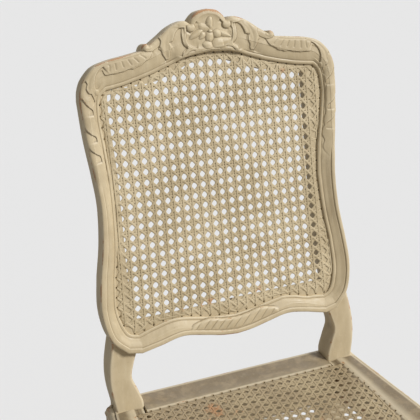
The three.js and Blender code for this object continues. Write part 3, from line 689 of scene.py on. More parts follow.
# Leaf in the middle of the lower rail: outline, bed, body and the ribs across it
SILL_LEAF = [(0, 91.5), (30, 94.5), (56, 100), (73, 102), (71.5, 108.4), (64, 112.6), (54, 114.8),
             (40, 117), (20, 113), (0, 111.5)]
SILL_LEAF_BED = 3.7
SILL_LEAF_LEVEL = 100
SILL_LEAF_HEIGHT, SILL_LEAF_EDGE = 1.6, 4
SILL_RIB_HEIGHT, SILL_RIB_EDGE = 1.5, 11
SILL_RIB_PITCH = 13.5
SILL_RIB_LEAN = 0.9
SILL_RIB_SKEW = 0.8

# Levels over which the plain moulding of a stile gives way to its leaf
LEAF_FOOT, LEAF_START = 322, 345


def profile(table, distance):
    return np.interp(distance, table[:, 0], table[:, 1])


def smoothstep(value, low, high):
    t = np.clip((value - low) / (high - low), 0, 1)
    return t * t * (3 - 2 * t)


def inside_outline(points, outline):
    """Which points lie inside a closed outline."""
    x, y = points[:, 0], points[:, 1]
    result = np.zeros(len(points), bool)
    for (ax, ay), (bx, by) in zip(outline, np.roll(outline, -1, 0)):
        if ay != by:
            result ^= ((ay > y) != (by > y)) & (x < ax + (y - ay) / (by - ay) * (bx - ax))
    return result


def near_box(points, line, margin):
    low, high = np.min(line, 0) - margin, np.max(line, 0) + margin
    return ((points > low) & (points < high)).all(1)


def signed_distance(points, line):
    """Distance of each point to a line, positive to its left, and how far it lies past its ends."""
    a, along = line[:-1], np.diff(line, axis=0)
    length = np.linalg.norm(along, axis=1)
    lefts = np.column_stack([-along[:, 1], along[:, 0]]) / length[:, None]
    corners = np.vstack([lefts[:1], lefts[:-1] + lefts[1:], lefts[-1:]])
    reach, beyond = np.empty(len(points)), np.empty(len(points))
    for start in range(0, len(points), BATCH):
        part = points[start:start + BATCH, None]
        t = ((part - a) * along).sum(2) / length**2
        gaps = part - a - along * np.clip(t, 0, 1)[:, :, None]
        far = np.linalg.norm(gaps, axis=2)
        k = far.argmin(1)
        row = np.arange(len(k))
        share = t[row, k]
        within = np.clip(share, 0, 1)[:, None]
        side = (gaps[row, k] * (corners[k] * (1 - within) + corners[k + 1] * within)).sum(1)
        reach[start:start + BATCH] = far[row, k] * np.sign(side)
        before = np.maximum(-share, 0) * (k == 0)
        after = np.maximum(share - 1, 0) * (k == len(a) - 1)
        beyond[start:start + BATCH] = (before + after) * length[k]
    return reach, beyond


def stepped(points, line, depth, reach):
    """Depth of a drop to the left of a line, which eases out over its reach."""
    result = np.zeros(len(points))
    line = spline(line, 6)
    near = near_box(points, line, STEP_MARGIN * reach)
    if near.any():
        gap, beyond = signed_distance(points[near], line)
        ease = np.exp(-(np.maximum(gap, 0) / reach)**2 - (beyond / STEP_END_EASE)**2)
        result[near] = depth * ease * smoothstep(gap, *STEP_WALL)
    return result


def cut(points, line, width, depth):
    """Depth of a cut along a line, with soft lips."""
    result = np.zeros(len(points))
    line = spline(line, 6)
    near = near_box(points, line, 3 * width)
    if near.any():
        result[near] = depth * np.exp(-(distance_to(points[near], line) / width)**2)
    return result


def raised(points, outline, soft):
    """1 well inside a closed outline, falling to 0 at its edge over a rounded width."""
    result = np.zeros(len(points))
    outline = spline(np.vstack([outline, outline[:1]]), 5)[:-1]
    near = near_box(points, outline, 0)
    if near.any():
        closed = np.vstack([outline, outline[:1]])
        reach = distance_to(points[near], closed) * inside_outline(points[near], outline)
        result[near] = (1 - (1 - np.clip(reach / soft, 0, 1))**2)**PETAL_ROUND
    return result


def mound(points, across, up, length, width, turn, height):
    """A rounded lobe with a crisp foot."""
    a = math.radians(turn)
    x, y = points[:, 0] - across, points[:, 1] - up
    s, t = (x * math.cos(a) + y * math.sin(a)) / length, (y * math.cos(a) - x * math.sin(a)) / width
    return height * np.sqrt(np.clip(1 - s**2 - t**2, 0, 1))


def carved_depth(points):
    """Depth of the carving below the face of the crest and stiles."""
    folded = np.column_stack([np.abs(points[:, 0]), points[:, 1]])
    dish = np.vstack([DOME_DISH, np.array(DOME_DISH)[::-1] * [-1, 1]])
    depth = DISH_DEPTH * raised(folded, dish, DISH_EDGE)
    for line, drop, reach, moved in STEPS:
        depth += stepped(folded, np.array(line) + [moved * READ_ASIDE, 0], drop, reach)
    depth = DEEPEST_STEP * np.tanh(depth / DEEPEST_STEP)
    petals = np.zeros(len(points))
    for outline, soft, height in FLOWER:
        petal = height * raised(points, outline, soft)
        petals = np.where(petal > 0, np.maximum(petals * PETAL_UNDER_PETAL, petal), petals)
    depth -= petals
    for details in LOBES:
        lobe = mound(folded, *details)
        depth = np.where(lobe > 0, np.minimum(depth, LOBE_FOOT - lobe), depth)
    for line, width, drop in GROOVES:
        depth += cut(folded, line, width, drop)
    return depth


def sill_leaf(points):
    """Height of the lower rail's leaf, with slanting lobes that overlap to the right."""
    outline = both_sides(SILL_LEAF)
    phase = ((points[:, 0] - SILL_RIB_LEAN * (points[:, 1] - SILL_LEAF_LEVEL)) / SILL_RIB_PITCH) % 1
    reed = np.sqrt(np.abs(np.sin(math.pi * phase**SILL_RIB_SKEW)))
    ribs = SILL_RIB_HEIGHT * reed * raised(points, outline, SILL_RIB_EDGE)
    return raised(points, outline, SILL_LEAF_EDGE) * (SILL_LEAF_HEIGHT + ribs)


def front_depth(points, inner_distance, outer_distance):
    """Depth of the front of the back's frame below its foremost plane."""
    cove = profile(BEAD_PROFILE, inner_distance)
    band = profile(BAND_PROFILE, outer_distance)
    inside_band = smoothstep(outer_distance, BAND_WIDTH, 2 * BAND_WIDTH)
    moulded = band * (1 - inside_band) + cove * inside_band
    leaf = sill_leaf(points)
    moulded = np.where(leaf > 0, np.minimum(moulded, SILL_LEAF_BED - leaf), moulded)
    face = FACE_DEPTH + carved_depth(points) - PROFILE_END
    under_flower = profile(FLOWER_FOOT_PROFILE, inner_distance)
    under_flower += face * smoothstep(inner_distance, *FLOWER_START)
    beside_flower = profile(SHOULDER_BEAD_PROFILE, inner_distance)
    beside_flower += face * smoothstep(inner_distance, *SHOULDER_START)
    middle = 1 - smoothstep(np.abs(points[:, 0]), *FLOWER_HALF_WIDTH)
    carved = under_flower * middle + beside_flower * (1 - middle)
    carved += profile(EDGE_PROFILE, outer_distance)
    share = smoothstep(points[:, 1], LEAF_FOOT, LEAF_START)
    return np.maximum(moulded * (1 - share) + carved * share, -PROUDEST)


def moved_by(places, table):
    """How far the worn frame lies off the even drawing at places round its opening."""
    u, v = places[:, 0], places[:, 1] - OPENING_MIDDLE
    keys = np.array([(*place, *move) for place, move in table], float)
    turns = np.arctan2(keys[:, 1] - OPENING_MIDDLE, keys[:, 0])
    order = np.argsort(turns)
    here = np.arctan2(v, u)
    moves = [np.interp(here, turns[order], keys[order, k], period=2 * math.pi) for k in (2, 3)]
    return np.column_stack(moves)


# Steps of a section: along its straight parts, round its rear edge, and on the opening's arris
THIRDS = (0.33, 0.66, 1)
BACK_EDGE_TURNS = np.radians((18, 36, 54, 72, 90))
ARRIS_MIDDLE = 0.4


def frame_section(opening, inner, outer, front_samples, outer_line):
    """Closed sections of the back's frame through matched points, as a grid of places."""
    rows = len(inner)
    share = np.linspace(0, 1, front_samples)
    even = inner[:, None] + (outer - inner)[:, None] * share[None, :, None]
    flat = even.reshape(-1, 2)
    folded = np.abs(flat)
    depth = front_depth(flat, distance_to(folded, INNER_EDGE.points),
                        distance_to(folded, outer_line.points))
    depth = np.minimum(depth, LEDGE - FRAME_FRONT - LEAST_WALL).reshape(rows, front_samples)
    inner_move, outer_move = moved_by(inner, OPENING_MOVED), moved_by(outer, OUTLINE_MOVED)
    inner_share = 1 - smoothstep(share, *INNER_MOVE_FADE)
    outer_share = smoothstep(share, *OUTER_MOVE_FADE)
    front = even + inner_move[:, None] * inner_share[None, :, None]
    front += outer_move[:, None] * outer_share[None, :, None]
    foot = 1 - smoothstep(opening[:, 1], SILL_HEIGHT, SILL_HEIGHT + OPENING_FOOT_FADE)
    opening = opening + inner_move * (opening[:, :1] < 0) - np.outer(foot, [0, OPENING_FOOT_DROP])
    inner, outer = inner + inner_move, outer + outer_move
    inward = inner - outer
    inward /= np.linalg.norm(inward, axis=1)[:, None]
    outward = inner - opening
    outward /= np.linalg.norm(outward, axis=1)[:, None]
    places, through = [], []

    def add(place, w):
        places.append(place)
        through.append(np.broadcast_to(w, rows))

    for k in range(front_samples):
        add(front[:, k], FRAME_FRONT + depth[:, k])
    wall_top = FRAME_FRONT + depth[:, -1]
    for step in THIRDS:
        add(outer, wall_top + (FRAME_BACK - BACK_EDGE_DEPTH - wall_top) * step)
    for turn in BACK_EDGE_TURNS:
        add(outer + inward * BACK_EDGE_INSET * (1 - math.cos(turn)),
            FRAME_BACK - BACK_EDGE_DEPTH * (1 - math.sin(turn)))
    relief = outward * (OPENING_RELIEF * foot)[:, None]
    back_start, back_end = outer + inward * BACK_EDGE_INSET, opening + relief + outward * BACK_ARRIS
    for step in THIRDS:
        add(back_start + (back_end - back_start) * step, FRAME_BACK)
    add(opening + relief + outward * ARRIS_MIDDLE, FRAME_BACK - ARRIS_MIDDLE)
    add(opening + relief, FRAME_BACK - BACK_ARRIS)
    add(opening + relief * 0.5, (FRAME_BACK + LEDGE) / 2)
    for step in (0, 0.5, 1):
        add(opening + (inner - opening) * step, LEDGE)
    add(inner, (LEDGE + FRAME_FRONT + depth[:, 0]) / 2)
    places = np.stack(places, 1)
    return on_back(places[..., 0], places[..., 1], np.stack(through, 1))


# How finely a piece is drawn: the spacing of its sections, and the places across its front
CREST_DETAIL = (0.78, 92)
SILL_DETAIL = (1.1, 50)
STILE_DETAIL = (0.9, 60)


def frame_piece(name, keys, outer_line, detail, side=None):
    """A piece of the back's frame: on one side or, without a side, across the middle."""
    spacing, front_samples = detail
    lines = stations((OPENING_EDGE, INNER_EDGE, outer_line), keys, spacing)
    lines = on_side(side, *lines) if side else map(mirrored, lines)
    grid = frame_section(*lines, front_samples, outer_line)
    return new_mesh(name, [closed_loft(grid, front_samples)])


def crest_rail():
    return frame_piece("carved_crest_rail", CREST_KEYS, CREST_OUTER, CREST_DETAIL)


def sill_rail():
    return frame_piece("carved_lower_rail", SILL_KEYS, STILE_OUTER, SILL_DETAIL)


def stile(side):
    return frame_piece("stile", STILE_KEYS, STILE_OUTER, STILE_DETAIL, side)


# Posts, rear legs and front legs

def rounded_ring(centre, width, depth):
    """A level rectangle with rounded corners, as a ring of places."""
    half = np.array([width / 2 - POST_ROUND, depth / 2 - POST_ROUND])
    corners = []
    for quarter, way in enumerate([(1, -1), (1, 1), (-1, 1), (-1, -1)]):
        turns = math.radians(quarter * 90 - 90) + np.linspace(0, math.pi / 2, 6)
        corners.append(half * way + POST_ROUND * np.column_stack([np.cos(turns), np.sin(turns)]))
    points = []
    for corner, after in zip(corners, corners[1:] + corners[:1]):
        straight = corner[-1] + (after[0] - corner[-1]) * np.array([0.25, 0.5, 0.75])[:, None]
        points += [corner, straight]
    x, y = np.vstack(points).T
    return on_seat(x + centre[0], y + centre[1], centre[2])


def rear_leg_rings(side):
    """Rings of a rear leg from the floor, past the seat, to where the post enters the frame."""
    rings = []
    for height, setback, taper in spline(REAR_LEG_SHARES, 9):
        x = side * (POST_CENTRE + taper * REAR_FOOT_SPLAY)
        centre = (x, setback * REAR_FOOT_SETBACK - POST_DEPTH / 2, height * RAIL_BOTTOM)
        width = POST_WIDTH + (REAR_FOOT_WIDTH - POST_WIDTH) * taper
        depth = POST_DEPTH + (REAR_FOOT_WIDTH - POST_DEPTH) * taper
        rings.append(rounded_ring(centre, width, depth))
    for z in (RAIL_BOTTOM + 20, SEAT_TOP - 20):
        rings.append(rounded_ring((side * POST_CENTRE, -POST_DEPTH / 2, z), POST_WIDTH, POST_DEPTH))
    rise, lean = SILL_HEIGHT * math.cos(RAKE), SILL_HEIGHT * math.sin(RAKE)
    head_middle = lean - BACK_SETBACK + (FRAME_FRONT + POST_RECESS + FRAME_BACK) / 2
    head_depth = FRAME_BACK - FRAME_FRONT - POST_RECESS
    for height, shift, share in spline(POST_SHARES, 10):
        y = -POST_DEPTH / 2 * (1 - height) + head_middle * height
        depth = POST_DEPTH * (1 - height) + head_depth * height
        centre = (side * (POST_CENTRE + shift * POST_WIDTH), y, SEAT_TOP + height * rise)
        rings.append(rounded_ring(centre, share * POST_WIDTH, depth))
    return np.stack(rings)


def seat_outline():
    """The seat's outer edge in plan on the right, from the middle of the front to the post."""
    flare = SEAT_FRONT_HALF - SEAT_REAR_HALF
    flank = [(SEAT_REAR_HALF + flare * out, -SEAT_DEPTH * forward) for out, forward in FLANK_SHARES]
    across = SEAT_FRONT_HALF - CORNER_RADIUS
    bow = [(out * across, back * FRONT_BOW - SEAT_DEPTH) for out, back in BOW_SHARES]
    start, middle, end = np.array([bow[-1], (SEAT_FRONT_HALF, FRONT_BOW - SEAT_DEPTH), flank[0]])
    t = np.linspace(0, 1, 24)[:, None]
    corner = start * (1 - t)**2 + middle * 2 * t * (1 - t) + end * t**2
    tail = np.array([flank[-1], (SEAT_REAR_HALF, -SHOULDER_RETURN), (POST_OUTER, 0)])
    return Line(joined(spline(bow), corner, spline(flank), tail))


SEAT_OUTLINE = seat_outline()


def half_at(y, border):
    """Half the seat's width inside its border, at a distance back from the posts' line."""
    return SEAT_REAR_HALF + (SEAT_FRONT_HALF - SEAT_REAR_HALF) * (-y / SEAT_DEPTH) - border


def flank_at(y):
    """The seat's half width over all, at a distance back from the posts' line."""
    line = SEAT_OUTLINE.points
    flank = line[(line[:, 0] > SEAT_REAR_HALF - 1) & (line[:, 1] > -SEAT_DEPTH * 0.9)]
    return np.interp(y, flank[:, 1], flank[:, 0])


def edge_normals(points):
    """Unit directions out of the seat along its outline."""
    return -turned_left(directions(points))


def ridge(places, size, middle, width):
    return size * np.exp(-((places - middle) / width)**2)


def seat_section(ledge, recess, outer, normals, bottom, carving=None, face_rows=22):
    """Closed sections of a seat rail: its ledge, recess, top, moulded edge, face and underside."""
    places, heights = [], []

    def add(place, z):
        places.append(place)
        heights.append(np.broadcast_to(z, len(outer)))

    add(ledge, RECESS_FLOOR)
    add(ledge + (recess - ledge) * 0.6, RECESS_FLOOR + 0.5)
    add(recess, SEAT_TOP - 0.1)
    top_edge = outer - normals * SEAT_EDGE[0][0]
    for share in (0.12, 0.5, 0.85):
        add(recess + (top_edge - recess) * share, SEAT_TOP)
    for inset, drop in SEAT_EDGE:
        add(outer - normals * inset, SEAT_TOP - drop)
    face_top = SEAT_TOP - SEAT_EDGE[-1][1]
    for share in np.linspace(0, 1, face_rows)[1:]:
        z = face_top + (bottom + 1.5 - face_top) * share
        inset = RAIL_FACE_INSET - ridge(z - bottom, *RAIL_BEAD) + ridge(z - bottom, *RAIL_GROOVE)
        if carving:
            inset = inset - carving(np.column_stack([outer[:, 0], z]))
        add(outer - normals * np.clip(inset, 0, 4)[:, None], z)
    under_edge = outer - normals * RAIL_UNDER_INSET
    add(under_edge, bottom)
    add((under_edge + ledge) / 2, bottom)
    add(ledge, bottom)
    add(ledge, (bottom + RECESS_FLOOR) / 2)
    places = np.stack(places, 1)
    return on_seat(places[..., 0], places[..., 1], np.stack(heights, 1))


def side_rail(side, name):
    y = np.linspace(FRONT_LEG_BACK + JOINT_GAP, -(POST_DEPTH + JOINT_GAP), 140)
    outer = np.column_stack([flank_at(y), y])
    normals = edge_normals(outer)
    normals *= np.sign(normals[:, :1])
    t = (y - y[0]) / (y[-1] - y[0])
    bottom = RAIL_BOTTOM + 4 * SIDE_LIFT * t * (1 - t)
    ledge = np.column_stack([half_at(y, SEAT_OPENING_EDGE), y])
    recess = np.column_stack([half_at(y, SEAT_BORDER), y])
    grid = seat_section(*on_side(side, ledge, recess, outer, normals), bottom)
    return new_mesh(name, [closed_loft(grid)])


# Carving in the middle of the front rail, across and up from the floor: outlines of the leaf and
# the shell, the vein of the leaf and the tops of the shell's grooves. The flower has its level, the
# reach of its petals, the half length and half width of one, and its height.
APRON_LEAF = [
    (11, 409), (20, 415), (31, 417.5), (41, 415.5), (50, 420), (62, 422), (74, 419.5), (64, 415.5),
    (57, 411), (50, 410.5), (44, 405), (36, 404), (28, 398), (19, 396.5), (12, 399),
]
APRON_VEIN = [(13, 404), (28, 408.5), (44, 412.5), (58, 417.5), (70, 419.5)]
APRON_SHELL = [(0, 380), (7, 381.5), (12.5, 386.5), (13.5, 392), (8, 394.6), (0, 395.4)]
APRON_SHELL_GROOVES = (3.4, 7.6, 11.6)
APRON_FLOWER = (405.5, 7.2, 6, 4.4, 1.7)
APRON_HEIGHT, APRON_EDGE = 1.6, 4


def flower(points, up, reach, length, width, height):
    """Height of a flower of five petals and a button, on places folded about its middle."""
    result = mound(points, 0, up, 0.5 * reach, 0.5 * reach, 0, 1.2 * height)
    for turn in (90, 18, -54):
        a = math.radians(turn)
        x, y = reach * math.cos(a), up + reach * math.sin(a)
        result = np.maximum(result, mound(points, x, y, length, width, turn, height))
    return result


def apron_height(points):
    """Height of the flower, leaves and shell on the front rail."""
    folded = np.column_stack([np.abs(points[:, 0]), points[:, 1]])
    height = APRON_HEIGHT * raised(folded, APRON_LEAF, APRON_EDGE)
    height = np.maximum(height, flower(folded, *APRON_FLOWER))
    height = np.maximum(height, APRON_HEIGHT * raised(points, both_sides(APRON_SHELL), APRON_EDGE))
    height -= cut(folded, APRON_VEIN, 0.9, 0.8)
    for out in APRON_SHELL_GROOVES:
        height -= cut(folded, [(0.34 * out, 394), (0.7 * out, 388), (out, 382.4)], 0.7, 0.7)
    return height


def front_rail():
    end = FRONT_LEG_INNER - JOINT_GAP
    x = np.linspace(-end, end, 400)
    front_line = SEAT_OUTLINE.points[:60]
    outer = np.column_stack([x, np.interp(np.abs(x), front_line[:, 0], front_line[:, 1])])
    normals = edge_normals(outer)
    normals *= -np.sign(normals[:, 1:])
    lowest, rise = RAIL_BOTTOM - APRON_DROP, APRON_DROP + APRON_LIFT
    apron = spline([(share * end, lowest + up * rise) for share, up in APRON_SHARES])
    bottom = np.interp(np.abs(x), apron[:, 0], apron[:, 1])
    ledge = np.column_stack([x, np.full(len(x), FRONT_LEG_BACK)])
    recess = np.column_stack([x, np.full(len(x), float(SEAT_BORDER - SEAT_DEPTH))])
    grid = seat_section(ledge, recess, outer, normals, bottom, apron_height, 52)
    return new_mesh("carved_front_rail", [closed_loft(grid)])


def rear_rail():
    end = POST_INNER - JOINT_GAP
    x = np.linspace(-end, end, 90)
    grid = np.stack([on_seat(x, y, z) for y, z in REAR_RAIL_SECTION], 1)
    return new_mesh("rear_rail", [closed_loft(grid)])


def leg_corner(side):
    """The block of a front leg at the corner of the seat, with the seat's moulded edge round it."""
    start = SEAT_OUTLINE.arc_of(np.array((FRONT_LEG_INNER, FRONT_BOW - SEAT_DEPTH)))
    end = SEAT_OUTLINE.arc_of(np.array((flank_at(FRONT_LEG_BACK), FRONT_LEG_BACK)))
    outer = SEAT_OUTLINE.at(np.linspace(start, end, 60))
    ledge = np.tile([float(FRONT_LEG_INNER), float(FRONT_LEG_BACK)], (len(outer), 1))
    front = SEAT_BORDER - SEAT_DEPTH
    notch = Line([(FRONT_LEG_INNER, front), (half_at(front, SEAT_BORDER), front),
                  (half_at(FRONT_LEG_BACK, SEAT_BORDER), FRONT_LEG_BACK)])
    recess = notch.at(np.linspace(0, notch.arc[-1], len(outer)))
    bottom = np.full(len(outer), float(RAIL_BOTTOM))
    grid = seat_section(*on_side(side, ledge, recess, outer, edge_normals(outer)), bottom)
    return new_mesh("corner", [closed_loft(grid)])


# Carving of a front leg, folded about its outer corner, across the corner and up from the floor.
# The flower's numbers are its level, the reach of its petals, the half length and half width of
# one, and its height.
KNEE_LEAF = [(0, 284), (3.6, 292), (5.4, 302), (9.6, 309), (8.2, 317), (12.6, 325), (10.6, 333),
             (6, 339), (0, 342)]
KNEE_LEAF_HEIGHT, KNEE_LEAF_EDGE = 1.9, 4.5
KNEE_LEAF_VEIN = [(0, 286), (0, 312), (0, 338)]
KNEE_LEAF_LOBES = (298, 311, 324)
KNEE_FLOWER = (356, 7.6, 6.4, 4.6, 2.4)
KNEE_SCROLL = [
    (4, 388), (11, 384), (16.5, 374), (18, 360), (15.5, 344), (14.6, 326), (12.4, 306), (9.4, 280),
    (7.4, 240), (6.4, 190), (5.8, 140), (5.8, 90), (6.6, 60), (9, 42), (11, 30),
]
LEG_FLUTE = [(0, 270), (0, 230), (0, 170), (0, 110), (0, 70)]
SQUARENESS = 3.2
TOE_LEAF = [(0, 62), (3.4, 54), (6.4, 44), (10, 34), (12, 22), (9, 10), (0, 6)]
TOE_LEAF_HEIGHT, TOE_LEAF_EDGE = 1.6, 4
TOE_LEAF_VEIN = [(0, 10), (0, 34), (0, 58)]


def knee_height(across, up):
    """Height of the carving round the outer corner of a front leg."""
    points = np.column_stack([across, up])
    folded = np.abs(points)
    height = KNEE_LEAF_HEIGHT * raised(points, both_sides(KNEE_LEAF), KNEE_LEAF_EDGE)
    height = np.maximum(height, flower(folded, *KNEE_FLOWER))
    toe = TOE_LEAF_HEIGHT * raised(points, both_sides(TOE_LEAF), TOE_LEAF_EDGE)
    height = np.maximum(height, toe)
    height = np.maximum(height, cut(folded, KNEE_SCROLL, 1.5, 1.3))
    height -= cut(points, KNEE_LEAF_VEIN, 0.9, 0.9) + cut(points, TOE_LEAF_VEIN, 0.9, 0.8)
    for foot in KNEE_LEAF_LOBES:
        height -= cut(folded, [(0.8, foot), (4.4, foot + 4.4), (8.6, foot + 11)], 0.8, 0.7)
    return height - cut(points, LEG_FLUTE, 2.2, 0.8)


def front_leg_shaft(side, name):
    middle_x = SEAT_FRONT_HALF - FRONT_LEG_WIDTH / 2
    middle_y = (FRONT_LEG_BACK - (SEAT_DEPTH - FRONT_BOW)) / 2
    turns = np.linspace(0, 2 * math.pi, 168, endpoint=False)
    round_to_square = (np.abs([np.cos(turns), np.sin(turns)])**SQUARENESS).sum(0)**(1 / SQUARENESS)
    from_corner = (turns + math.pi / 4 + math.pi) % (2 * math.pi) - math.pi
    heights, reaches, widths = spline(FRONT_LEG_ROWS, 36).T
    radius = widths[:, None] / 2 / round_to_square
    rows = np.repeat(heights[:, None], len(turns), 1)
    radius += knee_height((from_corner * radius).ravel(), rows.ravel()).reshape(radius.shape)
    x = side * (middle_x + reaches[:, None] + radius * np.cos(turns))
    y = middle_y - reaches[:, None] + radius * np.sin(turns)
    return new_mesh(name, [closed_loft(on_seat(x, y, rows))])


# The seat's edge beside a post: how far in its top ends, and the length of its pointed tail
SHOULDER_EDGE = 11
SHOULDER_TAIL = 15


def rear_shoulder(side):
    """The part of the seat's edge beside a post, which runs out to a point."""
    start = SEAT_OUTLINE.arc_of(np.array((SEAT_REAR_HALF + 2, -POST_DEPTH)))
    total = SEAT_OUTLINE.arc[-1]
    flank = np.linspace(start, total - SHOULDER_TAIL - 1, 18)
    arcs = np.concatenate([flank, np.linspace(total - SHOULDER_TAIL, total, 12)])
    outer, rows = SEAT_OUTLINE.at(arcs), len(arcs)
    normals = edge_normals(outer)
    inner = np.column_stack([np.full(rows, float(POST_CENTRE)), np.linspace(-POST_DEPTH, 0, rows)])
    top_edge = outer - normals * SHOULDER_EDGE
    recess = inner + (top_edge - inner) * 0.05
    bottom = np.full(rows, float(RAIL_BOTTOM))
    grid = seat_section(*on_side(side, inner, recess, outer, normals), bottom)
    return new_mesh("shoulder", [closed_loft(grid)])


# Woven cane

# Layers of the six-way pattern: heights in millimetres, positive to the front or top
COLUMN_SETTING = (-0.3, 0.12)
ROW_SETTING = -0.08
WEAVER_LOW, WEAVER_HIGH = -0.5, 0.32
DIAGONAL_LIFT, DIAGONAL_WIDTH = 0.3, 1.12
# The grime layer is a dark strip under each pair's gap: caked dirt, and painted shade that darkens
# the pinholes.
COLUMN_GRIME_AND_SHADE, ROW_GRIME_AND_SHADE, GRIME_AND_SHADE_WIDTH = -0.7, -0.9, 0.7

# Section of a strand, as shares of its width and thickness
SECTION = [(-0.5, 0.45), (-0.44, -0.25), (-0.2, -0.45), (0.2, -0.45), (0.44, -0.25), (0.5, 0.45)]

# How far the hand work strays from the even pattern
STRAND_SHIFT = 0.12
STRAND_SWAY, SWAY_TURN = 0.14, 0.21
WIDTH_SPREAD = 0.03

# How a strand ends: from how far off it bends to its hole, the furthest hole that it reaches, how
# far it keeps to its own side, and the share of that in the hole. Then, with and without a hole,
# how deep it dives, how far ahead, and how far it sinks before that.
HOLE_RADIUS = 1.6
HOLE_RIM = HOLE_RADIUS * 0.6
HOLE_REACH = 13
HOLE_PULL = 9
PAIR_ASIDE, DIVE_ASIDE = 0.7, 0.4
DIVE, LOOSE_DIVE = -4.5, -3.2
DIVE_AHEAD, LOOSE_AHEAD = 0.5, 0.8
SINK, LOOSE_SINK = 0.9, 0.5
FEWEST_PLACES = 4

# What parts the grain of one strand from that of the next
STRAND_APART = 37.0


def runs_inside(keep):
    """Stretches of a strand that stay inside, as first and last places."""
    edges = np.flatnonzero(np.diff(np.concatenate([[0], keep.astype(int), [0]])))
    return [(a, b - 1) for a, b in zip(edges[::2], edges[1::2]) if b - a >= FEWEST_PLACES]


def settle_end(points, heights, holes, aside):
    """Leads the start of a strand into the nearest hole, where it dives out of sight."""
    gaps = np.linalg.norm(holes - points[0], axis=1)
    way = points[0] - points[2]
    way /= np.linalg.norm(way)
    ease = np.clip(1 - travelled(points) / HOLE_REACH, 0, 1)**2
    if gaps.min() > HOLE_PULL:
        dive = points[0] + way * LOOSE_AHEAD
        heights = np.concatenate([[LOOSE_DIVE], heights - ease * LOOSE_SINK])
        return np.vstack([dive, points]), heights
    across = np.array([-way[1], way[0]]) * aside
    rim = holes[gaps.argmin()] - way * HOLE_RIM
    moved = points + (rim + across - points[0]) * ease[:, None]
    dive = rim + across * DIVE_ASIDE + way * DIVE_AHEAD
    return np.vstack([dive, moved]), np.concatenate([[DIVE], heights - ease**3 * SINK])


def weave(pitch, pair, extent, fit, inside, holes, draw):
    """Runs of six-way cane in three groups, with the openings on whole numbers of pitches."""
    groups = {"setting": [], "weaving": [], "grime": []}
    px, py = pitch
    columns, first_row, last_row = extent
    up_fine = np.arange(first_row - 3, last_row + 3, 0.25) * py
    across_fine = np.arange(-columns - 1, columns + 1, 1 / 6)

    def lay(points, heights, group, aside, width=1.0):
        points = points + draw.normal(0, STRAND_SHIFT, 2)
        wave = draw.uniform(0, 2 * math.pi)
        sway = STRAND_SWAY * np.sin(np.arange(len(points)) * SWAY_TURN + wave)
        points = fit(points + turned_left(directions(points)) * sway[:, None])
        heights = np.broadcast_to(heights, len(points))
        size = width * (1 + draw.normal(0, WIDTH_SPREAD))
        for a, b in runs_inside(inside(points)):
            run, lift = settle_end(points[a:b + 1], heights[a:b + 1], holes, aside)
            run, lift = settle_end(run[::-1], lift[::-1], holes, -aside)
            groups[group].append((run, lift, size))

    def column(x):
        return np.column_stack([np.full(len(up_fine), x), up_fine])

    def row(y):
        return np.column_stack([across_fine * px, np.full(len(across_fine), y)])

    for n in range(-columns - 1, columns + 1):
        middle = (n + 0.5) * px
        lay(column(middle - pair / 2), COLUMN_SETTING[0], "setting", -PAIR_ASIDE)
        lay(column(middle + pair / 2), COLUMN_SETTING[1], "setting", PAIR_ASIDE)
        # Dark strip under the gap: caked dirt and painted shade in the pinholes
        lay(column(middle), COLUMN_GRIME_AND_SHADE, "grime", 0, GRIME_AND_SHADE_WIDTH)
    turn = np.cos(2 * math.pi * ((across_fine * px + pair / 2) / px - 0.5))
    weaver = (WEAVER_HIGH + WEAVER_LOW) / 2 - (WEAVER_HIGH - WEAVER_LOW) / 2 * turn
    for m in range(first_row - 1, last_row + 1):
        middle = (m + 0.5) * py
        lay(row(middle - pair / 2), ROW_SETTING, "setting", -PAIR_ASIDE)
        lay(row(middle + pair / 2), weaver, "weaving", PAIR_ASIDE)
        # Dark strip under the gap: caked dirt and painted shade in the pinholes
        lay(row(middle), ROW_GRIME_AND_SHADE, "grime", 0, GRIME_AND_SHADE_WIDTH)
    reach = columns + max(abs(first_row), abs(last_row)) + 2
    for direction in (1, -1):
        wave = -DIAGONAL_LIFT * np.cos(2 * math.pi * across_fine) * direction
        for k in range(-reach, reach):
            up = direction * (across_fine - k - 0.5)
            keep = (up > first_row - 2.5) & (up < last_row + 2.5)
            if keep.sum() > 4:
                line = np.column_stack([across_fine * px, up * py])[keep]
                lay(line, wave[keep], "weaving", 0, DIAGONAL_WIDTH)
    return groups


def strand_part(run, place, width, thickness, number):
    """A flat crowned strand as vertices, faces and lengthways values."""
    points, heights, size = run
    across = turned_left(directions(points)) * width * size
    rings = np.stack([
        place(points + across * out, heights - down * thickness) for out, down in SECTION
    ], 1)
    rows, columns = rings.shape[:2]
    along = np.repeat(travelled(points) + number * STRAND_APART, columns) * MM
    return rings.reshape(-1, 3), loft_faces(rows, columns), along


def strand_object(name, runs, place, sizes):
    width, thickness = sizes.strand_width / MM, sizes.strand_thickness / MM
    parts = [strand_part(run, place, width, thickness, number) for number, run in enumerate(runs)]
    return new_mesh(name, parts, weld=0, relief_name="along")


def rod(start, end, radius, sides=14):
    """A closed round bar between two places, for cutting holes."""
    start, end = Vector(start), Vector(end)
    way = (end - start).normalized()
    aside = way.orthogonal().normalized()
    other = way.cross(aside)
    turns = [2 * math.pi * k / sides for k in range(sides)]
    ring = [(aside * math.cos(t) + other * math.sin(t)) * radius for t in turns]
    return closed_loft(np.array([[middle + out for out in ring] for middle in (start, end)]))


def drill(tops, bottoms):
    """Drill for many holes, as one cutter."""
    return new_mesh("drill", [rod(*ends, HOLE_RADIUS * MM) for ends in zip(tops, bottoms)], weld=0)


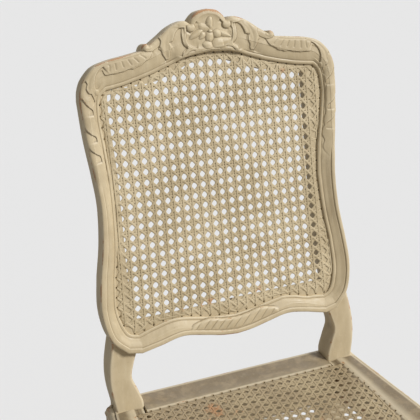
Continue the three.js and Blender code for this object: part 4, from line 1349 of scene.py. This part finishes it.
def drilled_holes(pitch, extent, reach, fit, inside, apart):
    """Holes beside a panel's edge: two to each column of paired strands and two to each row.

    They are sought over a reach of pitches either way, and lie at least so many mm apart.
    """
    columns, first_row, last_row = extent
    steps = np.arange(-reach, reach, 0.05)
    lines = [
        np.column_stack([np.full(len(steps), (n + 0.5) * pitch[0]), steps * pitch[1]])
        for n in range(-columns, columns)
    ] + [
        np.column_stack([steps * pitch[0], np.full(len(steps), (m + 0.5) * pitch[1])])
        for m in range(first_row, last_row)
    ]
    kept = []
    for line in map(fit, lines):
        for hole in line[[k for run in runs_inside(inside(line)) for k in run]]:
            if all(np.hypot(*(hole - other)) > apart for other in kept):
                kept.append(hole)
    return np.array(kept)


# Cane of the back: columns across and rows up it. The columns spread towards the foot, in full at
# so far below the middle row.
BACK_ROW_ZERO = 298.3
BACK_PITCH = (14, 15.05)
BACK_ROW_SPREAD = 0.033
BACK_EXTENT = (12, -11, 13)
BACK_REACH = 14
HOLES_APART = 8.5
SPLAY, SPLAY_MOST = 0.038, 1.2
SPLAY_ASIDE = -1.0
SPLAY_FALL = 150
HOLE_INSET = 1.4
STRAND_INSET = 0.5
INNER_LOOP = EVEN_LOOP + moved_by(EVEN_LOOP, OPENING_MOVED)
CLOSED_LOOP = np.vstack([INNER_LOOP, INNER_LOOP[:1]])


def fit_back(points):
    """Places of the even pattern on the real back."""
    v = points[:, 1] + BACK_ROW_ZERO + BACK_ROW_SPREAD * (points[:, 1] / BACK_PITCH[1])**2
    low = np.clip((BACK_ROW_ZERO - v) / SPLAY_FALL, 0, SPLAY_MOST)
    return np.column_stack([points[:, 0] * (1 + SPLAY * low) + SPLAY_ASIDE * low, v])


def inside_back(points, inset=STRAND_INSET):
    return inside_outline(points, INNER_LOOP) & (distance_to(points, CLOSED_LOOP) > inset)


BACK_HOLES = drilled_holes(BACK_PITCH, BACK_EXTENT, BACK_REACH, fit_back,
                           lambda line: inside_back(line, HOLE_INSET), HOLES_APART)


def place_back(points, heights):
    return on_back(points[:, 0], points[:, 1], 0.1 - heights)


def place_behind(points, heights):
    return on_back(points[:, 0], points[:, 1], FRAME_BACK + 0.1 - heights)


def back_drill():
    return drill(on_back(*BACK_HOLES.T, 0), on_back(*BACK_HOLES.T, FRAME_BACK + 3))


# Loops of cane from hole to hole behind the frame: shares of the way, and heights into the wood
LOOP_SHARES = np.array([0, 0.08, 0.3, 0.5, 0.7, 0.92, 1])
LOOP_HEIGHTS = np.array([2.0, -0.15, -0.5, -0.55, -0.5, -0.15, 2.0])
LOOP_WIDTH = 0.95
LONGEST_LOOP = 24


def rear_loops():
    out = BACK_HOLES - BACK_HOLES.mean(0)
    ring = BACK_HOLES[np.argsort(np.arctan2(out[:, 1], out[:, 0]))]
    return [
        (a + (b - a) * LOOP_SHARES[:, None], LOOP_HEIGHTS, LOOP_WIDTH)
        for a, b in zip(ring, np.roll(ring, -1, 0)) if np.hypot(*(b - a)) < LONGEST_LOOP
    ]


def back_cane(sizes):
    draw = np.random.default_rng(SEED)
    pair = sizes.pair_spacing / MM
    groups = weave(BACK_PITCH, pair, BACK_EXTENT, fit_back, inside_back, BACK_HOLES, draw)
    pieces = [
        strand_object(f"back_cane_{name}", runs, place_back, sizes) for name, runs in groups.items()
    ]
    pieces.append(strand_object("back_cane_loops", rear_loops(), place_behind, sizes))
    for piece in pieces:
        mark_worn(piece, WORN_BACK_CANE)
    return pieces


# Cane of the seat: columns across and rows back
SEAT_ROW_ZERO = -226.5
SEAT_PITCH = (14, 13)
SEAT_EXTENT = (16, -14, 14)
SEAT_REACH = 17
SEAT_HOLES_APART = 8
SEAT_CANE_DROP = 1.35
SEAT_HOLE_INSET = 1.8
SEAT_STRAND_INSET = 1
CUT_CORNER = 12


def seat_cane_outline(inset):
    rear, front = -(BARE_RAIL_DEPTH + inset), SEAT_BORDER - SEAT_DEPTH + inset
    side = SEAT_BORDER + inset
    right = [
        (half_at(front, side) - CUT_CORNER, front),
        (half_at(front + CUT_CORNER, side), front + CUT_CORNER), (half_at(rear, side), rear),
    ]
    return np.array(right[::-1] + [(-x, y) for x, y in right])


def fit_seat(points):
    return points + [0, SEAT_ROW_ZERO]


def inside_seat(points, inset=SEAT_STRAND_INSET):
    return inside_outline(points, seat_cane_outline(inset))


SEAT_HOLES = drilled_holes(SEAT_PITCH, SEAT_EXTENT, SEAT_REACH, fit_seat,
                           lambda line: inside_seat(line, SEAT_HOLE_INSET), SEAT_HOLES_APART)


def place_seat(points, heights):
    return on_seat(points[:, 0], points[:, 1], SEAT_TOP - SEAT_CANE_DROP + heights)


def seat_drill():
    return drill(on_seat(*SEAT_HOLES.T, SEAT_TOP + 2), on_seat(*SEAT_HOLES.T, SEAT_TOP - 14))


def seat_cane(sizes):
    draw = np.random.default_rng(SEED + 1)
    pair = sizes.pair_spacing / MM
    groups = weave(SEAT_PITCH, pair, SEAT_EXTENT, fit_seat, inside_seat, SEAT_HOLES, draw)
    pieces = [
        strand_object(f"seat_cane_{name}", runs, place_seat, sizes) for name, runs in groups.items()
    ]
    for piece in pieces:
        mark_worn(piece, WORN_SEAT_CANE, seat=True)
    return pieces


# Finishes

class Nodes:
    """Adds nodes to a material and links what it is given."""

    def __init__(self, name):
        self.material = bpy.data.materials.new(name)
        self.material.use_nodes = True
        self.tree = self.material.node_tree
        self.tree.nodes.clear()

    def add(self, kind, inputs=None, **settings):
        node = self.tree.nodes.new(kind)
        for key, value in settings.items():
            setattr(node, key, value)
        for key, value in (inputs or {}).items():
            if isinstance(value, bpy.types.NodeSocket):
                self.tree.links.new(value, node.inputs[key])
            else:
                node.inputs[key].default_value = value
        return node

    def noise(self, scale, detail=5, roughness=0.6, vector=None):
        inputs = {"Scale": scale, "Detail": detail, "Roughness": roughness}
        if vector is not None:
            inputs["Vector"] = vector
        return self.add("ShaderNodeTexNoise", inputs).outputs["Fac"]

    def span(self, value, low, high, to_low=0.0, to_high=1.0):
        inputs = {
            "Value": value, "From Min": low, "From Max": high, "To Min": to_low, "To Max": to_high,
        }
        node = self.add("ShaderNodeMapRange", inputs, interpolation_type="SMOOTHSTEP")
        return node.outputs["Result"]

    def math(self, operation, a, b):
        return self.add("ShaderNodeMath", {0: a, 1: b}, operation=operation).outputs[0]

    def mix(self, factor, a, b):
        colours = {6: a, 7: b}
        for socket, value in colours.items():
            if not isinstance(value, bpy.types.NodeSocket):
                colours[socket] = (*value[:3], 1)
        return self.add("ShaderNodeMix", {0: factor, **colours}, data_type="RGBA").outputs[2]

    def finish(self, colour, roughness, height, distance):
        bump = self.add("ShaderNodeBump", {"Height": height, "Strength": 1.0, "Distance": distance})
        inputs = {"Base Color": colour, "Roughness": roughness, "Normal": bump.outputs[0]}
        shader = self.add("ShaderNodeBsdfPrincipled", inputs)
        self.add("ShaderNodeOutputMaterial", {0: shader.outputs[0]})
        return self.material


def linear(red, green, blue):
    """A colour given as it appears on screen, from 0 to 255, as linear light."""
    shares = [c / 255 for c in (red, green, blue)]
    return tuple(c / 12.92 if c <= 0.04045 else ((c + 0.055) / 1.055)**2.4 for c in shares)


def caked_grime_and_shade(name, colours):
    """Old dirt and paint that have filled the gap between two strands, with dark blotches that are
    painted shade in the pinholes.
    """
    n = Nodes(name)
    place = n.add("ShaderNodeTexCoord").outputs["Object"]
    lump = n.noise(360, 3, 0.6, place)
    tone = n.mix(n.span(n.noise(90, 3, 0.6, place), 0.4, 0.7), colours.cane_shade, colours.grime)
    # Dark blotches of the gap colour are painted shade in the pinholes, among caked dirt.
    return n.finish(n.mix(n.span(lump, 0.44, 0.56), colours.gap, tone), 0.9, lump, 0.0003)


def weathered_paint(name, colours, stretch=(1, 1, 1), grime=1.0, wear=1.0, soiled_top=0.0):
    """Old paint over wood: uneven tone, brushed streaks, grime with painted shade in hollows, bare
    edges, and painted highlights on proud places.
    """
    n = Nodes(name)
    place = n.add("ShaderNodeTexCoord").outputs["Object"]
    long = n.add("ShaderNodeMapping", {"Vector": place, "Scale": stretch}).outputs[0]
    hollow = n.add("ShaderNodeAttribute", attribute_name="hollow").outputs["Fac"]
    worn = n.add("ShaderNodeAttribute", attribute_name="worn").outputs["Fac"]
    cloud = n.noise(15, 5, 0.6, place)
    streak = n.noise(170, 6, 0.7, long)
    fine = n.noise(900, 3, 0.6, place)
    patchy = n.noise(55, 6, 0.72, place)
    around_middle = n.math("SUBTRACT", patchy, 0.5)
    tone = n.mix(n.span(cloud, 0.35, 0.66), colours.paint_shade, colours.paint)
    tone = n.mix(n.span(streak, 0.45, 0.8, 0, 0.45), tone, colours.paint_light_and_highlight)
    speck = n.span(n.noise(420, 4, 0.7, place), 0.63, 0.73, 0, 0.4)
    tone = n.mix(speck, tone, colours.grime)
    # Tops that face up are painted darker and browner, in patches.
    if soiled_top:
        normal = n.add("ShaderNodeNewGeometry").outputs["Normal"]
        facing_up = n.add("ShaderNodeSeparateXYZ", {0: normal}).outputs[2]
        uneven = n.math("ADD", facing_up, n.math("MULTIPLY", around_middle, 0.5))
        top_tone = n.mix(n.span(patchy, 0.35, 0.7), colours.rail_top_dark, colours.rail_top)
        tone = n.mix(n.span(uneven, 0.75, 1.0, 0, soiled_top), tone, top_tone)
    # Proud places are painted lighter: painted highlights on the carving, with some paint rubbed
    # clean.
    tone = n.mix(n.span(hollow, -0.8, -0.08, 0.7, 0), tone, colours.paint_light_and_highlight)
    # Hollows are darkened towards the grime colour: real grime, and painted shade in grooves and
    # creases.
    uneven = n.math("ADD", hollow, n.math("MULTIPLY", n.math("SUBTRACT", cloud, 0.5), 0.3))
    dirt_and_shade = n.span(uneven, 0.12, 0.85, 0, 0.85 * grime * colours.soiling_and_shade)
    tone = n.mix(dirt_and_shade, tone, colours.grime)
    rub = n.math("SUBTRACT", n.math("MULTIPLY", around_middle, 2.4), hollow)
    bare = n.span(n.math("ADD", rub, worn), 1.02, 1.25, 0, 0.8 * wear * colours.wear)
    tone = n.mix(bare, tone, colours.bare_wood)
    roughness = n.span(n.noise(60, 4, 0.6, place), 0.3, 0.7, 0.42, 0.62)
    height = n.math("ADD", n.math("MULTIPLY", streak, 0.5), n.math("MULTIPLY", fine, 0.3))
    height = n.math("SUBTRACT", height, n.math("MULTIPLY", bare, 0.5))
    return n.finish(tone, roughness, height, 0.0004)


def painted_cane(name, colours, clean, dull):
    """Cane under old paint: fibres along each strand, grime between strands and bare patches."""
    n = Nodes(name)
    place = n.add("ShaderNodeTexCoord").outputs["Object"]
    along = n.add("ShaderNodeAttribute", attribute_name="along").outputs["Fac"]
    grain = {"X": along, "Y": n.math("MULTIPLY", along, 0.13)}
    strand = n.add("ShaderNodeCombineXYZ", grain).outputs[0]
    cloud = n.noise(16, 5, 0.6, place)
    patch = n.noise(34, 6, 0.7, place)
    fleck = n.noise(260, 4, 0.7, strand)
    tone = n.mix(n.span(cloud, 0.36, 0.64), dull, clean)
    tone = n.mix(n.span(fleck, 0.4, 0.75, 0, 0.4), tone, clean)
    speck = n.span(n.noise(700, 3, 0.6, place), 0.58, 0.75, 0, 0.35 * colours.soiling_and_shade)
    tone = n.mix(speck, tone, colours.grime)
    worn = n.add("ShaderNodeAttribute", attribute_name="worn").outputs["Fac"]
    patch = n.math("ADD", patch, n.math("MULTIPLY", worn, 0.26))
    rub = n.math("ADD", patch, n.math("MULTIPLY", n.math("SUBTRACT", fleck, 0.5), 0.3))
    tone = n.mix(n.span(rub, 0.64, 0.76, 0, 0.65 * colours.wear), tone, colours.bare_wood)
    fine = n.noise(1200, 2, 0.5, place)
    height = n.math("ADD", n.math("MULTIPLY", fleck, 0.5), n.math("MULTIPLY", fine, 0.5))
    return n.finish(tone, n.span(cloud, 0.3, 0.7, 0.5, 0.7), height, 0.0003)


def shared(name, make, *details, **more):
    """A finish that is made once and then shared."""
    return bpy.data.materials.get(name) or make(name, *details, **more)


def frame_paint(colours):
    # The frame's paint takes 0.6 of the grime with painted shade in hollows.
    return shared("weathered_cream_paint", weathered_paint, colours, (1, 1, 0.12), 0.6)


def rail_paint(colours):
    # Rails and front legs, whose tops that face up are painted darker.
    return shared("weathered_rail_paint", weathered_paint, colours, (0.12, 1, 1), soiled_top=0.95)


def cane_finish(piece, colours):
    # The dark strips in the gaps get caked dirt and painted shade.
    if piece.name.endswith("grime"):
        return shared("grime_in_the_cane", caked_grime_and_shade, colours)
    if piece.name.startswith("seat"):
        name, clean, dull = "weathered_seat_cane", colours.seat_cane, colours.seat_cane_shade
    else:
        name, clean, dull = "weathered_back_cane", colours.cane, colours.cane_shade
    return shared(name, painted_cane, colours, clean, dull)


# What a user would change

def size_property(name, description, default, low, high):
    """A length, given in millimetres."""
    return FloatProperty(
        name=name, description=description, default=default * MM, min=low * MM, max=high * MM,
        precision=4, subtype="DISTANCE", unit="LENGTH",
    )


def amount_property(name, description):
    """A share of what the chair has as it stands."""
    return FloatProperty(
        name=name, description=description, default=1, min=0, max=1.15, subtype="FACTOR",
    )


def colour_property(name, description, red, green, blue):
    """A colour, given as it appears on screen, from 0 to 255."""
    return FloatVectorProperty(
        name=name, description=description, default=linear(red, green, blue), min=0, max=1, size=3,
        subtype="COLOR",
    )


class CaneChairSizes(bpy.types.PropertyGroup):
    """Sizes of the cane."""

    strand_width: size_property("Strand width", "Width of a strand", 2.9, 1, 4)
    strand_thickness: size_property("Strand thickness", "Thickness of a strand", 0.55, 0.3, 2)
    pair_spacing: size_property("Pair spacing", "Distance between paired strands", 3.5, 2, 6)


class CaneChairColours(bpy.types.PropertyGroup):
    """Colours and wear of the finishes."""

    paint: colour_property("Paint", "Main colour of the old paint", 203, 185, 150)
    # Light paint, used for brushed streaks and for painted highlights on proud places.
    paint_light_and_highlight: colour_property("Light paint", "Paint where it is clean", 218, 203, 172)
    paint_shade: colour_property("Dull paint", "Paint where it has dulled", 189, 171, 137)
    # Dark brown for specks of dirt, and for grime with painted shade in hollows and in the cane's
    # gaps.
    grime: colour_property("Grime", "Dirt in the hollows", 96, 78, 54)
    # Very dark colour of the cane's gaps: caked dirt, and painted shade in the pinholes.
    gap: colour_property("Gaps", "Dirt caked in the gaps of the cane", 66, 52, 38)
    bare_wood: colour_property("Bare wood", "Wood where the paint has worn off", 182, 128, 82)
    cane: colour_property("Cane", "Main colour of the painted cane", 203, 186, 152)
    cane_shade: colour_property("Dull cane", "Painted cane where it has dulled", 183, 165, 130)
    seat_cane: colour_property("Seat cane", "Main colour of the seat's cane", 178, 160, 126)
    seat_cane_shade: colour_property("Dull seat cane", "Seat's cane where it dulled", 158, 139, 107)
    # Colours for the rails' tops that face up, which are painted darker and browner.
    rail_top: colour_property("Rail tops", "Seat rails where the top is bare", 152, 134, 104)
    rail_top_dark: colour_property("Dark rail tops", "Stained tops of the rails", 112, 97, 74)
    floor: colour_property("Floor", "Colour of the plain floor", 230, 230, 230)
    floor_bounce: colour_property("Floor bounce", "Light that the floor gives back", 172, 170, 166)
    wear: amount_property("Wear", "How much of the worn paint has gone")
    # Soiling scales the specks, and the grime with painted shade in the hollows.
    soiling_and_shade: amount_property("Soiling", "How strongly dirt shows in the hollows and specks")


# The stage: half the floor's width in metres, the light and colour of the world, and the lamps,
# each with its name, the way it shines, its softness in radians and its strength
FLOOR_REACH = 60
WORLD_LIGHT = 0.26
WORLD_SEEN = 0.84
LAMPS = (("key", (-1.0, 0.8, -1.0), 0.26, 3.2), ("rear", (-0.4, -1.0, -0.7), 0.9, 0.7))

# The camera: its place in metres from the back of the rear rail's top, the ways that its right, its
# top and its back face, its lens, and half a pixel of shift to centre the picture
CAMERA_PLACE = (-0.5009, -1.1065, 0.8613)
CAMERA_WAYS = ((0.92262, -0.38568, 0.00522), (0.16352, 0.40336, 0.90031),
               (-0.34934, -0.82979, 0.43521))
CAMERA_LENS = 81.43
SENSOR_WIDTH = 36
HALF_PIXEL = 0.5 / 420


def pale_floor(colours):
    """A plain floor that is seen in one colour, and throws a little less light back."""
    n = Nodes("pale_floor")
    seen = n.add("ShaderNodeBsdfDiffuse", {"Color": (*colours.floor, 1)})
    bounce = n.add("ShaderNodeBsdfDiffuse", {"Color": (*colours.floor_bounce, 1)})
    to_camera = n.add("ShaderNodeLightPath").outputs["Is Camera Ray"]
    either = n.add("ShaderNodeMixShader", {0: to_camera, 1: bounce.outputs[0], 2: seen.outputs[0]})
    n.add("ShaderNodeOutputMaterial", {0: either.outputs[0]})
    mesh = bpy.data.meshes.new("floor")
    square = ((-1, -1), (1, -1), (1, 1), (-1, 1))
    mesh.from_pydata([(x * FLOOR_REACH, y * FLOOR_REACH, 0) for x, y in square], [], [(0, 1, 2, 3)])
    mesh.materials.append(n.material)
    return placed("floor", mesh)


def studio_world():
    """Even light from all round, behind which the camera sees a pale background."""
    world = bpy.data.worlds.new("studio")
    world.use_nodes = True
    tree = world.node_tree
    light, seen = tree.nodes["Background"], tree.nodes.new("ShaderNodeBackground")
    light.inputs[0].default_value = (1, 1, 1, 1)
    light.inputs[1].default_value = WORLD_LIGHT
    seen.inputs[0].default_value = (WORLD_SEEN, WORLD_SEEN, WORLD_SEEN, 1)
    path, mix = tree.nodes.new("ShaderNodeLightPath"), tree.nodes.new("ShaderNodeMixShader")
    tree.links.new(path.outputs["Is Camera Ray"], mix.inputs[0])
    tree.links.new(light.outputs[0], mix.inputs[1])
    tree.links.new(seen.outputs[0], mix.inputs[2])
    tree.links.new(mix.outputs[0], tree.nodes["World Output"].inputs[0])
    return world


def lamp(name, towards, softness, strength):
    light = bpy.data.lights.new(name, "SUN")
    light.energy = strength
    light.angle = softness
    placed(name, light).rotation_euler = Vector(towards).to_track_quat("-Z", "Y").to_euler()


def viewer():
    camera = bpy.data.cameras.new("camera")
    camera.sensor_width = SENSOR_WIDTH
    camera.lens = CAMERA_LENS
    camera.shift_x, camera.shift_y = -HALF_PIXEL, HALF_PIXEL
    holder = placed("camera", camera)
    across, back, up = CAMERA_PLACE
    place = Matrix.Translation((across, POST_BACK * MM + back, SEAT_TOP * MM + up))
    holder.matrix_world = place @ Matrix(CAMERA_WAYS).transposed().to_4x4()
    return holder


# Operators

class CANECHAIR_OT_stage(bpy.types.Operator):
    """Floor, light and camera"""

    bl_idname = "cane_chair.stage"
    bl_label = "Stage"
    bl_options = {"REGISTER", "UNDO"}

    def execute(self, context):
        scene = context.scene
        floor = pale_floor(scene.cane_chair_colours)
        scene.world = studio_world()
        for details in LAMPS:
            lamp(*details)
        scene.camera = viewer()
        scene.view_settings.view_transform = "Standard"
        return {"FINISHED"}


class CANECHAIR_OT_crest_rail(bpy.types.Operator):
    """Carved top rail of the back"""

    bl_idname = "cane_chair.crest_rail"
    bl_label = "Crest rail"
    bl_options = {"REGISTER", "UNDO"}

    def execute(self, context):
        paint = frame_paint(context.scene.cane_chair_colours)
        rail = combined(crest_rail(), [back_drill()], "DIFFERENCE")
        mark_worn(rail, WORN_FRAME)
        finish_piece(rail, paint, "crest_rail")
        return {"FINISHED"}


class CANECHAIR_OT_lower_rail(bpy.types.Operator):
    """Lower rail of the back"""

    bl_idname = "cane_chair.lower_rail"
    bl_label = "Lower back rail"
    bl_options = {"REGISTER", "UNDO"}

    def execute(self, context):
        paint = frame_paint(context.scene.cane_chair_colours)
        rail = combined(sill_rail(), [back_drill()], "DIFFERENCE")
        mark_worn(rail, WORN_FRAME)
        finish_piece(rail, paint, "lower_back_rail")
        return {"FINISHED"}


class CANECHAIR_OT_rear_legs(bpy.types.Operator):
    """Rear legs with their posts and stiles"""

    bl_idname = "cane_chair.rear_legs"
    bl_label = "Rear legs"
    bl_options = {"REGISTER", "UNDO"}

    def execute(self, context):
        paint = frame_paint(context.scene.cane_chair_colours)
        for side, hand in ((-1, "left"), (1, "right")):
            leg = new_mesh(f"{hand}_rear_leg_and_stile", [closed_loft(rear_leg_rings(side))])
            upper = combined(stile(side), [back_drill()], "DIFFERENCE")
            leg = combined(leg, [upper, rear_shoulder(side)], "UNION")
            mark_worn(leg, WORN_FRAME)
            finish_piece(leg, paint, f"{hand}_rear_leg")
        return {"FINISHED"}


class CANECHAIR_OT_back_cane(bpy.types.Operator):
    """Woven cane of the back"""

    bl_idname = "cane_chair.back_cane"
    bl_label = "Back cane"
    bl_options = {"REGISTER", "UNDO"}

    def execute(self, context):
        scene = context.scene
        for piece in back_cane(scene.cane_chair_sizes):
            finish = cane_finish(piece, scene.cane_chair_colours)
            finish_piece(piece, finish, "back_cane_panel", SHARP_CANE)
        return {"FINISHED"}


class CANECHAIR_OT_seat_rails(bpy.types.Operator):
    """Rails of the seat"""

    bl_idname = "cane_chair.seat_rails"
    bl_label = "Seat rails"
    bl_options = {"REGISTER", "UNDO"}

    def execute(self, context):
        paint = rail_paint(context.scene.cane_chair_colours)
        rails = [(rear_rail(), "rear_seat_rail"), (front_rail(), "front_seat_rail")]
        for side, hand in ((-1, "left"), (1, "right")):
            rails.append((side_rail(side, f"{hand}_moulded_rail"), f"{hand}_seat_rail"))
        for rail, node in rails:
            rail = combined(rail, [seat_drill()], "DIFFERENCE")
            finish_piece(rail, paint, node)
        return {"FINISHED"}


class CANECHAIR_OT_front_legs(bpy.types.Operator):
    """Cabriole front legs"""

    bl_idname = "cane_chair.front_legs"
    bl_label = "Front legs"
    bl_options = {"REGISTER", "UNDO"}

    def execute(self, context):
        paint = rail_paint(context.scene.cane_chair_colours)
        for side, hand in ((-1, "left"), (1, "right")):
            leg = front_leg_shaft(side, f"{hand}_cabriole_leg")
            leg = combined(leg, [leg_corner(side)], "UNION")
            leg = combined(leg, [seat_drill()], "DIFFERENCE")
            finish_piece(leg, paint, f"{hand}_front_leg")
        return {"FINISHED"}


class CANECHAIR_OT_seat_cane(bpy.types.Operator):
    """Woven cane of the seat"""

    bl_idname = "cane_chair.seat_cane"
    bl_label = "Seat cane"
    bl_options = {"REGISTER", "UNDO"}

    def execute(self, context):
        scene = context.scene
        for piece in seat_cane(scene.cane_chair_sizes):
            finish = cane_finish(piece, scene.cane_chair_colours)
            finish_piece(piece, finish, "seat_cane_panel", SHARP_CANE)
        return {"FINISHED"}


class CANECHAIR_OT_pegs(bpy.types.Operator):
    """Finish of the pegs, which are the CAD's own"""

    bl_idname = "cane_chair.pegs"
    bl_label = "Pegs"
    bl_options = {"REGISTER", "UNDO"}

    def execute(self, context):
        colours = context.scene.cane_chair_colours
        finish = shared("peg_end_grain", weathered_paint, colours, grime=0.8, wear=1.4)
        for name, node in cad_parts.items():
            if name.endswith("_peg") or "_peg_" in name:
                for slot in node.material_slots:
                    slot.material = finish
        return {"FINISHED"}


OPERATORS = (
    CANECHAIR_OT_stage, CANECHAIR_OT_crest_rail, CANECHAIR_OT_lower_rail, CANECHAIR_OT_rear_legs,
    CANECHAIR_OT_back_cane, CANECHAIR_OT_seat_rails, CANECHAIR_OT_front_legs,
    CANECHAIR_OT_seat_cane, CANECHAIR_OT_pegs,
)


class CANECHAIR_PT_panel(bpy.types.Panel):
    """Lists the sizes, the colours and the steps that build the chair"""

    bl_label = "Cane chair"
    bl_space_type = "VIEW_3D"
    bl_region_type = "UI"
    bl_category = "Cane chair"

    def draw(self, context):
        for group in (context.scene.cane_chair_sizes, context.scene.cane_chair_colours):
            box = self.layout.box()
            for key in group.__annotations__:
                box.prop(group, key)
        for operator in OPERATORS:
            self.layout.operator(operator.bl_idname)


CLASSES = (CaneChairSizes, CaneChairColours, *OPERATORS, CANECHAIR_PT_panel)


def register():
    for kind in CLASSES:
        bpy.utils.register_class(kind)
    bpy.types.Scene.cane_chair_sizes = PointerProperty(type=CaneChairSizes)
    bpy.types.Scene.cane_chair_colours = PointerProperty(type=CaneChairColours)


def unregister():
    del bpy.types.Scene.cane_chair_sizes
    del bpy.types.Scene.cane_chair_colours
    for kind in reversed(CLASSES):
        bpy.utils.unregister_class(kind)


def main():
    register()
    bpy.ops.cane_chair.stage()
    bpy.ops.cane_chair.crest_rail()
    bpy.ops.cane_chair.lower_rail()
    bpy.ops.cane_chair.rear_legs()
    bpy.ops.cane_chair.back_cane()
    bpy.ops.cane_chair.seat_rails()
    bpy.ops.cane_chair.front_legs()
    bpy.ops.cane_chair.seat_cane()
    bpy.ops.cane_chair.pegs()


if __name__ == "__main__":
    main()
